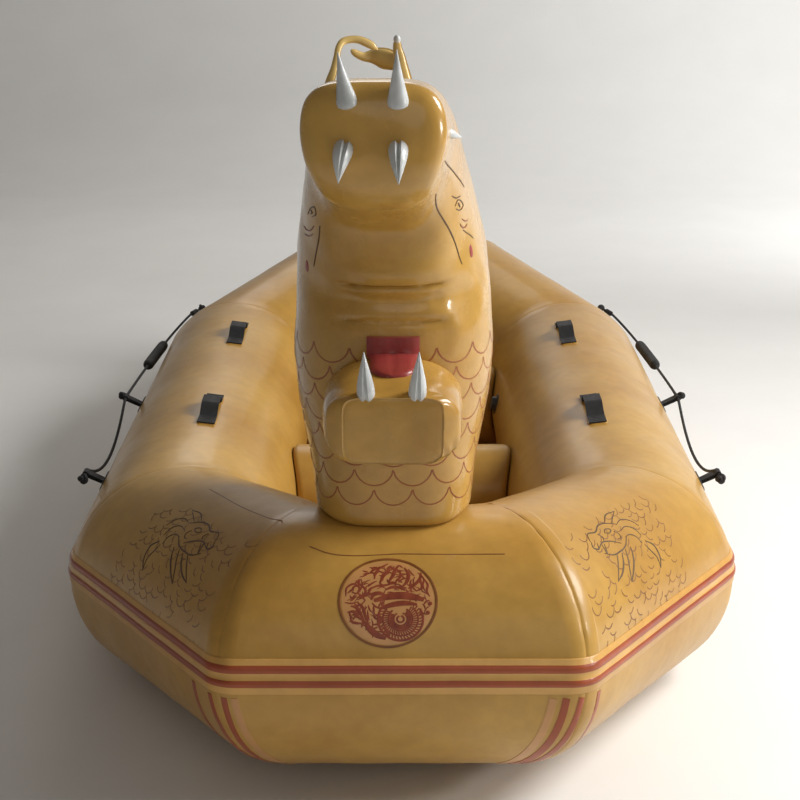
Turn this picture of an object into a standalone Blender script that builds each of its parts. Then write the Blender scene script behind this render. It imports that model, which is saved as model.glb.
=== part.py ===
"""Inflatable dragon boat: an eight-sided ring of air tubes with a drop-stitch floor, two thwarts,
a dragon's head and neck on the bow tube, a tail on the stern tube, webbing handles and lifelines.

Metres, +Z up. The bow points along -Y, port is +X, and the floor's underside lies at z = 0.
"""

import math

import bmesh
import bpy
from mathutils import Vector

GAP = 0.0003  # left between pieces that rest on each other
CUT_GAP = 0.0006  # added to a cutter that follows a curved neighbour

# Sides of the round sections
TUBE_SIDES = 48
SECTION_SIDES = 32
TAIL_SIDES = 24
VALVE_SIDES = 24
SMALL_SIDES = 12

# Hull: the ring of tubes, by its centre line's corners
SIDE_X, SIDE_RADIUS = 0.530, 0.250
BOW_X, BOW_RADIUS, BOW_KICK = 0.215, 0.265, 0.075
STERN_X, STERN_RADIUS, STERN_KICK = 0.225, 0.262, 0.085
BOW_Y, SIDE_BOW_Y = -1.237, -0.758
STERN_Y, SIDE_STERN_Y = 1.237, 0.757
BOW_Z, STERN_Z = SIDE_RADIUS + BOW_KICK, SIDE_RADIUS + STERN_KICK

# Rub strake, by the numbers of the tube's edges that it covers, counted up from the equator
STRAKE_EDGES = (0, 1, 2)
STRAKE_THICKNESS = 0.006

# Floor and thwarts
FLOOR_THICKNESS = 0.100
FLOOR_INSET = 0.085  # its edge, in from the tubes' centre line
FLOOR_BOW_LIFT, FLOOR_STERN_LIFT = 0.062, 0.070
THWART_RADIUS, THWART_HALF_LENGTH = 0.125, 0.40  # its ends are cut off by the side tubes
THWART_YS = (("front", -0.20), ("rear", 0.52))

# Dragon: leans a little to starboard
DRAGON_X = -0.018
HEAD_YAW = math.radians(2.6)
NECK_FOOT_Z, NECK_TOP_Z = 0.400, 1.020
NECK_BACK_Y = -0.885
MOUTH_BACK_Y = -1.330

# Lifelines and their webbing anchors
# Anchors: place, tube on the port side, share of the way along it
ANCHOR_TABLE = (("bow", 1, 0.210), ("middle", 1, 0.579), ("stern", 2, 0.220))
ANCHOR_EDGE = 3  # the tube's flat face that carries them
ANCHOR_LENGTH, ANCHOR_WIDTH, TAB_WIDTH = 0.070, 0.030, 0.025
LINE_DIAMETER = 0.008
LINE_REACH = 0.050  # from the tube's face to the eye that holds the line
# Its stretches: sag, then the shares along which it keeps its first and its next anchor's direction
LINE_STRETCHES = ((0.072, 0.30, 0.30), (0.030, 0.67, 0.17))
GRIP_RADIUS = 0.016
GRIP_START_Y, GRIP_END_Y = 0.500, 0.775

# Carry handles of flat webbing on the side tubes' crowns
HANDLE_YS = (("front", -0.32), ("rear", 0.39))
HANDLE_EDGES = (12, 13, 14)
HANDLE_LENGTH, HANDLE_WIDTH, HANDLE_RISE = 0.220, 0.045, 0.030
WEBBING = 0.003


# Materials: name, colour, roughness, metallic
MATERIAL_TABLE = (
    ("yellow_pvc", (0.72, 0.44, 0.09), 0.28, 0.0),
    ("floor_pvc", (0.62, 0.36, 0.08), 0.45, 0.0),
    ("red_pvc", (0.50, 0.09, 0.05), 0.32, 0.0),
    ("stripe_pvc", (0.70, 0.40, 0.09), 0.35, 0.0),
    ("spike_plastic", (0.70, 0.70, 0.68), 0.30, 0.0),
    ("webbing", (0.015, 0.015, 0.017), 0.75, 0.0),
    ("line", (0.03, 0.03, 0.035), 0.80, 0.0),
    ("valve_plastic", (0.06, 0.06, 0.06), 0.50, 0.0),
)


def clear_scene():
    for obj in list(bpy.context.scene.objects):
        bpy.data.objects.remove(obj, do_unlink=True)


def make_material(name, colour, roughness, metallic):
    material = bpy.data.materials.new(name)
    material.use_nodes = True
    shader = material.node_tree.nodes["Principled BSDF"]
    shader.inputs["Base Color"].default_value = (*colour, 1.0)
    shader.inputs["Roughness"].default_value = roughness
    shader.inputs["Metallic"].default_value = metallic
    return material


def add_object(name, bm, finish):
    """Closes off a bmesh as a smooth-shaded object with its own copy of a finish."""
    bmesh.ops.recalc_face_normals(bm, faces=bm.faces)
    mesh = bpy.data.meshes.new(name)
    bm.to_mesh(mesh)
    bm.free()
    mesh.shade_smooth()
    mesh.set_sharp_from_angle(angle=math.radians(35))
    obj = bpy.data.objects.new(name, mesh)
    bpy.context.scene.collection.objects.link(obj)
    material = MATERIALS[finish].copy()
    material.name = name
    mesh.materials.append(material)
    return obj


def loft(name, rings, finish, closed=False):
    """A skin through rings of equal counts, capped at both ends unless it closes on itself.

    Its sides are triangles, so that a cutter's warped faces run as its neighbour's do.
    """
    bm = bmesh.new()
    rows = [[bm.verts.new(point) for point in ring] for ring in rings]
    pairs = list(zip(rows, rows[1:]))
    if closed:
        pairs.append((rows[-1], rows[0]))
    else:
        bm.faces.new(rows[0])
        bm.faces.new(rows[-1])
    for first, second in pairs:
        for i in range(len(first)):
            j = (i + 1) % len(first)
            bm.faces.new((first[i], first[j], second[j]))
            bm.faces.new((first[i], second[j], second[i]))
    return add_object(name, bm, finish)


def prism(name, outline, along, finish):
    """A flat outline swept along one vector."""
    return loft(name, [outline, [point + along for point in outline]], finish)


def as_cutter(obj):
    obj.hide_render = True
    obj.display_type = "WIRE"
    return obj


def cut(obj, cutter):
    modifier = obj.modifiers.new("cut_" + cutter.name, "BOOLEAN")
    modifier.operation = "DIFFERENCE"
    modifier.object = cutter


def join(obj, other):
    modifier = obj.modifiers.new("join_" + other.name, "BOOLEAN")
    modifier.operation = "UNION"
    modifier.object = as_cutter(other)


def tube_rings(points, radii, sides, flatness=1.0):
    """Round or flattened sections square to a path in one plane, which turn with it."""
    rings = []
    first_step = points[1] - points[0]
    side = first_step.cross(points[-1] - points[0])
    if side.length < 1e-6:  # a straight path
        side = first_step.orthogonal()
    side.normalize()
    for i, (point, radius) in enumerate(zip(points, radii)):
        before = points[max(i - 1, 0)]
        after = points[min(i + 1, len(points) - 1)]
        ahead = (after - before).normalized()
        across = (side - ahead * side.dot(ahead)).normalized()
        up = ahead.cross(across)
        rings.append(
            [
                point + radius * (flatness * math.cos(turn) * across + math.sin(turn) * up)
                for turn in (math.tau * k / sides for k in range(sides))
            ]
        )
    return rings


def rounded_ring(centre, across, up, half_width, half_height, power):
    """A section between an ellipse and a rectangle: the power sets how square it is."""
    ring = []
    for k in range(SECTION_SIDES):
        turn = math.tau * k / SECTION_SIDES
        c, s = math.cos(turn), math.sin(turn)
        x = half_width * math.copysign(abs(c) ** (2 / power), c)
        y = half_height * math.copysign(abs(s) ** (2 / power), s)
        ring.append(centre + across * x + up * y)
    return ring


# Hull ring

# Corners, from the port bow round by port to the starboard bow: x, y, z, radius
CORNERS = (
    (BOW_X, BOW_Y, BOW_Z, BOW_RADIUS),
    (SIDE_X, SIDE_BOW_Y, SIDE_RADIUS, SIDE_RADIUS),
    (SIDE_X, SIDE_STERN_Y, SIDE_RADIUS, SIDE_RADIUS),
    (STERN_X, STERN_Y, STERN_Z, STERN_RADIUS),
    (-STERN_X, STERN_Y, STERN_Z, STERN_RADIUS),
    (-SIDE_X, SIDE_STERN_Y, SIDE_RADIUS, SIDE_RADIUS),
    (-SIDE_X, SIDE_BOW_Y, SIDE_RADIUS, SIDE_RADIUS),
    (-BOW_X, BOW_Y, BOW_Z, BOW_RADIUS),
)
# Each tube runs from the corner of its own number to the next one
TUBE_NAMES = (
    "bow_quarter_tube_port",
    "side_tube_port",
    "stern_quarter_tube_port",
    "stern_tube",
    "stern_quarter_tube_starboard",
    "side_tube_starboard",
    "bow_quarter_tube_starboard",
    "bow_tube",
)


def corner_point(i):
    return Vector(CORNERS[i % len(CORNERS)][:3])


def tube_direction(i):
    return (corner_point(i + 1) - corner_point(i)).normalized()


def mitre_point(i, edge, extra=0.0):
    """Where an edge of the many-sided tubes crosses the mitre of a corner, extra outside it.

    The level tube at the corner, which is the odd-numbered one, is exactly round there.
    """
    before, after = tube_direction(i - 1), tube_direction(i)
    level = after if i % 2 else before
    normal = (before + after).normalized()
    outward = level.cross(Vector((0, 0, 1))).normalized()
    turn = math.tau * edge / TUBE_SIDES
    radius = CORNERS[i % len(CORNERS)][3] + extra
    spoke = radius * Vector((*(outward.xy * math.cos(turn)), math.sin(turn)))
    return corner_point(i) + spoke - level * (spoke.dot(normal) / level.dot(normal))


def mitre_ring(i, extra=0.0):
    return [mitre_point(i, edge, extra) for edge in range(TUBE_SIDES)]


def make_tubes():
    for i, name in enumerate(TUBE_NAMES):
        inset = tube_direction(i) * GAP / 2
        start = [point + inset for point in mitre_ring(i)]
        end = [point - inset for point in mitre_ring(i + 1)]
        loft(name, [start, end], "yellow_pvc")


def make_hull_cutter():
    rings = [mitre_ring(i, CUT_GAP) for i in range(len(CORNERS))]
    return as_cutter(loft("cutter_hull", rings, "yellow_pvc", closed=True))


def make_strake():
    outer = GAP + STRAKE_THICKNESS
    rings = []
    for i in range(len(CORNERS)):
        near = [mitre_point(i, edge, GAP) for edge in STRAKE_EDGES]
        far = [mitre_point(i, edge, outer) for edge in STRAKE_EDGES]
        rings.append(near + far[::-1])
    loft("rub_strake", rings, "stripe_pvc", closed=True)


def facet(i, edge, share):
    """The middle of one flat face of a tube, a share of the way along it, and its normal."""
    low = mitre_point(i, edge).lerp(mitre_point(i + 1, edge), share)
    high = mitre_point(i, edge + 1).lerp(mitre_point(i + 1, edge + 1), share)
    normal = (high - low).cross(tube_direction(i)).normalized()
    middle = (low + high) / 2
    centre = corner_point(i).lerp(corner_point(i + 1), share)
    return middle, normal if normal.dot(middle - centre) > 0 else -normal


# Floor and thwarts


def floor_corner(i):
    """A corner of the floor's edge, set in from the tubes' centre line."""
    before, after = tube_direction(i - 1), tube_direction(i)
    inward = (after - before).normalized()
    half = math.sqrt((1 + before.dot(after)) / 2)
    return corner_point(i) + inward * FLOOR_INSET / half


def floor_lift(y):
    """How far the floor has risen by this place, as it follows the kicked-up ends."""
    ends = (
        (floor_corner(1).y, floor_corner(0).y, FLOOR_BOW_LIFT),
        (floor_corner(2).y, floor_corner(3).y, FLOOR_STERN_LIFT),
    )
    return max(0.0, *(lift * (y - bend) / (end - bend) for bend, end, lift in ends))


def make_floor(hull_cutter):
    """Lofted from bow to stern, with flat faces between its bends."""
    rings = []
    for i in range(4):
        corner = floor_corner(i)
        low = floor_lift(corner.y)
        high = low + FLOOR_THICKNESS
        places = ((-corner.x, low), (corner.x, low), (corner.x, high), (-corner.x, high))
        rings.append([Vector((x, corner.y, z)) for x, z in places])
    cut(loft("air_floor", rings, "floor_pvc"), hull_cutter)


def make_thwarts(hull_cutter):
    height = FLOOR_THICKNESS + THWART_RADIUS + GAP
    for place, y in THWART_YS:
        ends = [Vector((x, y, height)) for x in (-THWART_HALF_LENGTH, THWART_HALF_LENGTH)]
        rings = tube_rings(ends, [THWART_RADIUS] * 2, SECTION_SIDES)
        cut(loft("thwart_" + place, rings, "yellow_pvc"), hull_cutter)


# Dragon

# Neck sections: height, half width, front y, back y
NECK_TABLE = (
    (NECK_FOOT_Z, 0.155, -1.290, NECK_BACK_Y),
    (0.600, 0.157, -1.300, NECK_BACK_Y),
    (0.700, 0.172, -1.308, -0.878),
    (0.800, 0.190, -1.318, -0.868),
    (0.910, 0.200, -1.328, -0.862),
    (NECK_TOP_Z, 0.195, MOUTH_BACK_Y, -0.862),
)
# Head sections along its bend: top y and z, front or underside y and z, half width
HEAD_TABLE = (
    (-0.8620, NECK_TOP_Z + GAP, MOUTH_BACK_Y, NECK_TOP_Z + GAP, 0.1950),
    (-0.8710, 1.1716, -1.3250, 1.0584, 0.1880),
    (-0.9300, 1.2850, -1.3400, 1.0806, 0.1740),
    (-1.0335, 1.3750, -1.3465, 1.1040, 0.1580),
    (-1.1640, 1.4320, -1.3600, 1.1481, 0.1460),
    (-1.3080, 1.4620, -1.3920, 1.2082, 0.1350),
    (-1.4280, 1.4820, -1.4520, 1.2620, 0.1310),
    (-1.5180, 1.4940, -1.5220, 1.2960, 0.1300),
    (-1.5800, 1.4960, -1.5800, 1.3100, 0.1275),
    (-1.6000, 1.4820, -1.6000, 1.3260, 0.1100),
)
# Lower jaw sections, forward from the mouth's back: y, middle z, half width, half height
JAW_TABLE = (
    (MOUTH_BACK_Y + 0.020, 0.864, 0.132, 0.091),
    (-1.400, 0.864, 0.130, 0.080),
    (-1.470, 0.862, 0.125, 0.070),
    (-1.495, 0.861, 0.112, 0.060),
    (-1.503, 0.861, 0.090, 0.046),
)
# How square the sections are: 2 is an ellipse
BODY_POWER, JAW_POWER = 2.6, 3.2
HEAD_TURN_HEIGHT = 0.25  # above the neck, over which the head's turn to starboard sets in


def head_point(point):
    """Turns a point of the straight head to starboard about the neck."""
    y = point.y - NECK_BACK_Y
    turned = Vector(
        (
            point.x * math.cos(HEAD_YAW) + y * math.sin(HEAD_YAW),
            -point.x * math.sin(HEAD_YAW) + y * math.cos(HEAD_YAW),
        )
    )
    share = min(max((point.z - NECK_TOP_Z) / HEAD_TURN_HEIGHT, 0.0), 1.0)
    return Vector(
        (
            DRAGON_X + point.x + share * (turned.x - point.x),
            point.y + share * (turned.y - y),
            point.z,
        )
    )


def neck_rings(extra=0.0):
    rings = []
    for z, half_width, front, back in NECK_TABLE:
        centre = Vector((DRAGON_X, (front + back) / 2, z))
        half_depth = (back - front) / 2
        rings.append(
            rounded_ring(
                centre,
                Vector((1, 0, 0)),
                Vector((0, 1, 0)),
                half_width + extra,
                half_depth + extra,
                BODY_POWER,
            )
        )
    return rings


def head_rings(extra=0.0):
    rings = []
    for top_y, top_z, front_y, front_z, half_width in HEAD_TABLE:
        top, front = Vector((0, top_y, top_z)), Vector((0, front_y, front_z))
        middle = (top + front) / 2
        if top_y == HEAD_TABLE[-1][0]:
            middle.y -= extra
        ring = rounded_ring(
            middle,
            Vector((1, 0, 0)),
            (front - top).normalized(),
            half_width + extra,
            (front - top).length / 2 + extra,
            BODY_POWER,
        )
        rings.append([head_point(point) for point in ring])
    return rings


def jaw_rings(extra=0.0):
    rings = []
    for y, z, half_width, half_height in JAW_TABLE:
        ahead = extra if y == JAW_TABLE[-1][0] else 0.0
        rings.append(
            rounded_ring(
                Vector((DRAGON_X, y - ahead, z)),
                Vector((1, 0, 0)),
                Vector((0, 0, 1)),
                half_width + extra,
                half_height + extra,
                JAW_POWER,
            )
        )
    return rings


def make_pedestal(hull_cutter):
    """The inflated block under the back of the neck, which fills the gap down to the floor."""
    _, half_width, front, back = NECK_TABLE[0]
    half_depth = (back - front) / 2
    rings = []
    for level in (FLOOR_THICKNESS + GAP, NECK_FOOT_Z - GAP):
        centre = Vector((DRAGON_X, (front + back) / 2, level))
        ring = rounded_ring(
            centre, Vector((1, 0, 0)), Vector((0, 1, 0)), half_width, half_depth, BODY_POWER
        )
        if level < NECK_FOOT_Z - GAP:
            ring = [point + Vector((0, 0, floor_lift(point.y))) for point in ring]
        rings.append(ring)
    cut(loft("bow_pedestal", rings, "yellow_pvc"), hull_cutter)


def make_tongue():
    """A thin pad that lies along the lower jaw's top and turns up the mouth's back."""
    half, thickness, tip = 0.050, 0.007, -1.440
    wall, rise = MOUTH_BACK_Y, 0.9915
    wall_top, tip_top = 0.9517, 0.9370  # the jaw's top at the tongue's ends
    profile = (
        (wall, rise),
        (wall, wall_top - thickness),
        (tip, tip_top - thickness),
        (tip, tip_top + thickness * 0.6),
        (tip + 0.012, tip_top + 0.0025 + thickness),
        (wall - thickness, wall_top + thickness),
        (wall - thickness, rise),
    )
    outline = [Vector((DRAGON_X - half, y, z)) for y, z in profile]
    return prism("tongue", outline, Vector((2 * half, 0, 0)), "red_pvc")


# Spikes by kind: host, base radius, bow of the middle, on a spike to port
SPIKE_KINDS = {
    "nose_spike": ("head", 0.0190, (0, -0.003, 0)),
    "upper_fang": ("head", 0.0160, (0, -0.016, 0.006)),
    "cheek_spike": ("head", 0.0110, (0.004, -0.004, 0)),
    "lower_fang": ("jaw", 0.0150, (0, -0.010, -0.004)),
}
# Spikes: kind, side, base, tip
SPIKE_TABLE = (
    ("nose_spike", "port", (0.042, -1.598, 1.450), (0.040, -1.600, 1.550)),
    ("nose_spike", "starboard", (-0.044, -1.598, 1.450), (-0.055, -1.600, 1.545)),
    ("upper_fang", "port", (0.0425, -1.585, 1.402), (0.0450, -1.636, 1.340)),
    ("upper_fang", "starboard", (-0.0465, -1.585, 1.402), (-0.0535, -1.636, 1.341)),
    ("cheek_spike", "port", (0.112, -1.430, 1.392), (0.1450, -1.400, 1.377)),
    ("cheek_spike", "starboard", (-0.112, -1.425, 1.392), (-0.1400, -1.370, 1.375)),
    ("lower_fang", "port", (0.044, -1.480, 0.905), (0.047, -1.514, 1.016)),
    ("lower_fang", "starboard", (-0.048, -1.480, 0.905), (-0.051, -1.514, 1.016)),
)
# A spike's thickness along its length: share of the length, share of the base radius
SPIKE_TAPER = ((0.0, 1.0), (0.3, 0.94), (0.5, 0.78), (0.75, 0.44), (0.92, 0.17), (1.0, 0.06))


def make_spikes(cutters):
    for kind, side, base, tip in SPIKE_TABLE:
        name = f"{kind}_{side}"
        host, radius, bow = SPIKE_KINDS[kind]
        base, tip, bow = Vector(base), Vector(tip), Vector(bow)
        bow.x = math.copysign(bow.x, base.x)
        points = []
        for share, _ in SPIKE_TAPER:
            point = base.lerp(tip, share) + bow * 4 * share * (1 - share)
            if host == "head":
                points.append(head_point(point))
            else:
                points.append(point + Vector((DRAGON_X, 0, 0)))
        radii = [radius * thick for _, thick in SPIKE_TAPER]
        spike = loft(name, tube_rings(points, radii, SMALL_SIDES), "spike_plastic")
        cut(spike, cutters[host])


# Antler branches on the straight head, by side: path points as x, y, z, then half width
ANTLER_BRANCHES = {
    "port": (
        (
            (0.0381, -1.2336, 1.4250, 0.0182),
            (0.0342, -1.2288, 1.4555, 0.0167),
            (0.0293, -1.2240, 1.4767, 0.0149),
            (0.0263, -1.2191, 1.4979, 0.0113),
            (0.0235, -1.2173, 1.5122, 0.0084),
            (0.0225, -1.2153, 1.5270, 0.0071),
        ),
        (
            (0.0317, -1.2239, 1.4829, 0.0136),
            (0.0165, -1.2146, 1.4875, 0.0173),
            (0.0016, -1.2103, 1.4918, 0.0200),
            (-0.0132, -1.2089, 1.4954, 0.0173),
            (-0.0261, -1.2085, 1.4956, 0.0124),
            (-0.0388, -1.2121, 1.4954, 0.0084),
            (-0.0515, -1.2167, 1.5009, 0.0069),
            (-0.0622, -1.2212, 1.5086, 0.0051),
        ),
    ),
    "starboard": (
        (
            (-0.1005, -1.3200, 1.4280, 0.0091),
            (-0.0934, -1.3147, 1.4617, 0.0084),
            (-0.0868, -1.3044, 1.4835, 0.0066),
            (-0.0824, -1.2892, 1.5049, 0.0060),
            (-0.0797, -1.2760, 1.5195, 0.0060),
            (-0.0731, -1.2657, 1.5282, 0.0066),
            (-0.0609, -1.2591, 1.5312, 0.0066),
            (-0.0467, -1.2545, 1.5306, 0.0069),
            (-0.0323, -1.2518, 1.5253, 0.0076),
            (-0.0179, -1.2492, 1.5170, 0.0062),
            (-0.0108, -1.2469, 1.5115, 0.0029),
        ),
    ),
}
ANTLER_FLATNESS = 0.5  # thickness as a share of width


def make_antlers(head_cutter):
    for side, branches in ANTLER_BRANCHES.items():
        parts = []
        for k, branch in enumerate(branches):
            points = [head_point(Vector(row[:3])) for row in branch]
            half_widths = [row[3] for row in branch]
            name = "antler_" + side if k == 0 else f"helper_antler_{side}_{k}"
            rings = tube_rings(points, half_widths, SMALL_SIDES, ANTLER_FLATNESS)
            parts.append(loft(name, rings, "yellow_pvc"))
        for branch in parts[1:]:
            join(parts[0], branch)
        cut(parts[0], head_cutter)


# Tail sections along its curve: y, z, radius
TAIL_TABLE = (
    (1.200, 0.450, 0.118),
    (1.235, 0.600, 0.115),
    (1.290, 0.730, 0.098),
    (1.345, 0.840, 0.074),
    (1.365, 0.920, 0.050),
    (1.350, 0.985, 0.026),
    (1.320, 1.020, 0.008),
)


def make_tail(hull_cutter):
    points = [Vector((0, y, z)) for y, z, _ in TAIL_TABLE]
    radii = [radius for *_, radius in TAIL_TABLE]
    cut(loft("dragon_tail", tube_rings(points, radii, TAIL_SIDES), "yellow_pvc"), hull_cutter)


def make_dragon(hull_cutter):
    cutters = {
        "neck": as_cutter(loft("cutter_neck", neck_rings(CUT_GAP), "yellow_pvc")),
        "head": as_cutter(loft("cutter_head", head_rings(CUT_GAP), "yellow_pvc")),
        "jaw": as_cutter(loft("cutter_jaw", jaw_rings(CUT_GAP), "yellow_pvc")),
    }
    neck = loft("dragon_neck", neck_rings(), "yellow_pvc")
    cut(neck, hull_cutter)
    loft("dragon_head", head_rings(), "yellow_pvc")
    jaw = loft("lower_jaw", jaw_rings(), "yellow_pvc")
    cut(jaw, cutters["neck"])
    tongue = make_tongue()
    for cutter in cutters.values():
        cut(tongue, cutter)
    make_pedestal(hull_cutter)
    make_spikes(cutters)
    make_antlers(cutters["head"])
    make_tail(hull_cutter)


# Fittings on the side tubes


def side_point(sign, y, reach, edge):
    """A point beside a side tube: reach from its axis, towards one of its edges' places."""
    turn = math.tau * edge / TUBE_SIDES
    return Vector(
        (
            sign * (SIDE_X + reach * math.cos(turn)),
            y,
            SIDE_RADIUS + reach * math.sin(turn),
        )
    )


def tube_patch(name, sign, y, edges, length, finish):
    """A webbing patch that lies on whole flat faces of a side tube."""
    near, far = SIDE_RADIUS + GAP, SIDE_RADIUS + GAP + WEBBING
    outline = [side_point(sign, y - length / 2, near, edge) for edge in edges]
    outline += [side_point(sign, y - length / 2, far, edge) for edge in edges[::-1]]
    return prism(name, outline, Vector((0, length, 0)), finish)


def make_carry_handles():
    """Straps that arch between two feet, each foot on a patch that lies on the tube."""
    middle_edge = HANDLE_EDGES[1]
    foot, bend, shoulder = 0.050, 0.022, 0.006
    half = HANDLE_LENGTH / 2
    sink = 0.001  # how far the strap's feet reach into their patches
    patch_length = foot + 0.012
    low, high = SIDE_RADIUS + GAP + sink, SIDE_RADIUS + HANDLE_RISE
    # The strap's underside, half a loop: place along the handle, reach from the tube's axis
    under = (
        (half, low),
        (half - foot, low),
        (half - foot - bend, high - shoulder),
        (half - foot - 2 * bend, high),
    )
    run = [(-along, reach) for along, reach in under]
    run += [(along, reach) for along, reach in under[::-1]]
    profile = run + [(along, reach + WEBBING + sink) for along, reach in run[::-1]]
    for side, sign in (("port", 1), ("starboard", -1)):
        outward = side_point(sign, 0, 1, middle_edge) - side_point(sign, 0, 0, middle_edge)
        across = outward.cross(Vector((0, 1, 0))).normalized() * HANDLE_WIDTH
        for place, y in HANDLE_YS:
            name = f"carry_handle_{side}_{place}"
            outline = [
                side_point(sign, y + along, reach, middle_edge) - across / 2
                for along, reach in profile
            ]
            strap = prism(name, outline, across, "webbing")
            for end in (-1, 1):
                middle = y + end * (half - foot / 2)
                patch_name = f"helper_{name}_{end}"
                join(strap, tube_patch(patch_name, sign, middle, HANDLE_EDGES, patch_length, "webbing"))


def mirrored(point, sign):
    return Vector((sign * point.x, point.y, point.z))


def anchor_frame(tube, share):
    """The middle of an anchor's face on a port tube, and the directions out, along and up there."""
    middle, out = facet(tube, ANCHOR_EDGE, share)
    ahead = tube_direction(tube)
    along = (ahead - out * ahead.dot(out)).normalized()
    return middle, out, along, along.cross(out)


def make_anchors(hull_cutter):
    """Webbing tabs, each folded round the lifeline and welded to the tube on a patch."""
    eye_radius = LINE_DIAMETER / 2 + GAP
    tab_half, tab_radius = 0.0045, 0.0085
    fold_start, fold_steps = 148, 12  # the fold's round end, in degrees from straight out
    sink = 0.0015  # takes up the tube's warp under the patch
    tab_sink = 0.002
    for side, sign in (("port", 1), ("starboard", -1)):
        for place, tube, share in ANCHOR_TABLE:
            name = f"line_anchor_{side}_{place}"
            middle, out, along, up = (
                mirrored(vector, sign) for vector in anchor_frame(tube, share)
            )
            corners = ((-1, -1), (1, -1), (1, 1), (-1, 1))
            outline = [
                middle - out * sink + along * i * ANCHOR_LENGTH / 2 + up * j * ANCHOR_WIDTH / 2
                for i, j in corners
            ]
            patch = prism(name, outline, out * (sink + WEBBING), "webbing")
            cut(patch, hull_cutter)
            eye = middle + out * LINE_REACH - along * TAB_WIDTH / 2
            root = middle + out * tab_sink - along * TAB_WIDTH / 2
            outline = [root - up * tab_half, root + up * tab_half]
            for k in range(fold_steps + 1):
                turn = math.radians(fold_start * (1 - 2 * k / fold_steps))
                outline.append(eye + tab_radius * (math.cos(turn) * out + math.sin(turn) * up))
            tab = prism("helper_tab_" + name, outline, along * TAB_WIDTH, "webbing")
            join(patch, tab)
            hole_ends = [eye - along * TAB_WIDTH, eye + along * 2 * TAB_WIDTH]
            hole_rings = tube_rings(hole_ends, [eye_radius] * 2, SMALL_SIDES)
            cut(patch, as_cutter(loft("helper_eye_" + name, hole_rings, "webbing")))


def line_route():
    """The port lifeline's middle, which runs straight through its eyes and sags between them."""
    past_anchor, straight = 0.028, TAB_WIDTH * 0.7
    point_step = 0.024
    sag_power = 1.15  # over 1, so that the line leaves its anchors level
    eyes = []
    for _, tube, share in ANCHOR_TABLE:
        middle, out, along, _ = anchor_frame(tube, share)
        eyes.append((middle + out * LINE_REACH, along))
    points = [eyes[0][0] - eyes[0][1] * past_anchor]
    for (eye, along), (next_eye, next_along), stretch in zip(eyes, eyes[1:], LINE_STRETCHES):
        sag, keep, next_keep = stretch
        start, end = eye + along * straight, next_eye - next_along * straight
        points.append(eye - along * straight)
        span = (end - start).length
        guides = (start, start + along * span * keep, end - next_along * span * next_keep, end)
        count = round(span / point_step)
        for k in range(count + 1):
            share = k / count
            rest = 1 - share
            weights = (rest**3, 3 * share * rest**2, 3 * share**2 * rest, share**3)
            point = sum((guide * weight for guide, weight in zip(guides, weights)), Vector())
            point.z -= sag * (4 * share * rest) ** sag_power
            points.append(point)
    points.append(eyes[-1][0] + eyes[-1][1] * straight)
    points.append(eyes[-1][0] + eyes[-1][1] * past_anchor)
    return points


# A knot's outline: share of its radius along the line, share of its radius across
KNOT_OUTLINE = ((-0.9, 0.44), (-0.5, 0.87), (0.0, 1.0), (0.5, 0.87), (0.9, 0.44))
KNOT_RADIUS = 0.013


def make_knot(name, line_end, before):
    """A stopper knot just past the line's end."""
    ahead = (line_end - before).normalized()
    centre = line_end + ahead * (KNOT_RADIUS * KNOT_OUTLINE[-1][0] + GAP)
    points = [centre + ahead * KNOT_RADIUS * along for along, _ in KNOT_OUTLINE]
    radii = [KNOT_RADIUS * across for _, across in KNOT_OUTLINE]
    loft(name, tube_rings(points, radii, SMALL_SIDES), "line")


def make_lifelines():
    """Each line ends in a stopper knot just past its end anchors, and carries one grip."""
    for side, sign in (("port", 1), ("starboard", -1)):
        name = "lifeline_" + side
        curve = bpy.data.curves.new(name, "CURVE")
        curve.dimensions = "3D"
        curve.bevel_depth = LINE_DIAMETER / 2
        curve.bevel_resolution = 2
        curve.use_fill_caps = True
        spline = curve.splines.new("POLY")
        points = [mirrored(point, sign) for point in line_route()]
        spline.points.add(len(points) - 1)
        for target, point in zip(spline.points, points):
            target.co = (*point, 1)
        line = bpy.data.objects.new(name, curve)
        bpy.context.scene.collection.objects.link(line)
        curve.materials.append(MATERIALS["line"])
        make_grip("lifeline_grip_" + side, points)
        make_knot(f"line_knot_{side}_bow", points[0], points[1])
        make_knot(f"line_knot_{side}_stern", points[-1], points[-2])


def make_grip(name, line_points):
    """A padded sleeve round the lifeline, open at both ends where the line passes through."""
    end_share, next_share = 0.62, 0.88
    path = [point for point in line_points if GRIP_START_Y < point.y < GRIP_END_Y]
    last = len(path) - 1
    taper = {0: end_share, 1: next_share, last - 1: next_share, last: end_share}
    bore = LINE_DIAMETER / 2 + GAP + CUT_GAP
    outer_radii = [GRIP_RADIUS * taper.get(k, 1.0) for k in range(len(path))]
    outer = tube_rings(path, outer_radii, SMALL_SIDES)
    inner = tube_rings(path, [bore] * len(path), SMALL_SIDES)
    loft(name, outer + inner[::-1], "webbing", closed=True)


# Valves: name, tube number, edge number, share of the way along the tube
VALVE_TABLE = (
    ("valve_bow", 0, 22, 0.52),
    ("valve_side_port", 1, 22, 0.73),
    ("valve_stern", 4, 17, 0.45),
    ("valve_side_starboard", 5, 22, 0.29),
)


def make_valve(name, base, normal):
    """A screw cap on a wide flange that is welded to the skin."""
    side = normal.orthogonal().normalized()
    up = normal.cross(side)
    # Turned outline: height above the skin, radius
    profile = ((0.0, 0.030), (0.004, 0.030), (0.005, 0.021), (0.014, 0.020), (0.016, 0.018))
    rings = []
    for height, radius in profile:
        centre = base + normal * (height + GAP)
        rings.append(
            [
                centre + radius * (math.cos(turn) * side + math.sin(turn) * up)
                for turn in (math.tau * k / VALVE_SIDES for k in range(VALVE_SIDES))
            ]
        )
    return loft(name, rings, "valve_plastic")


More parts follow.
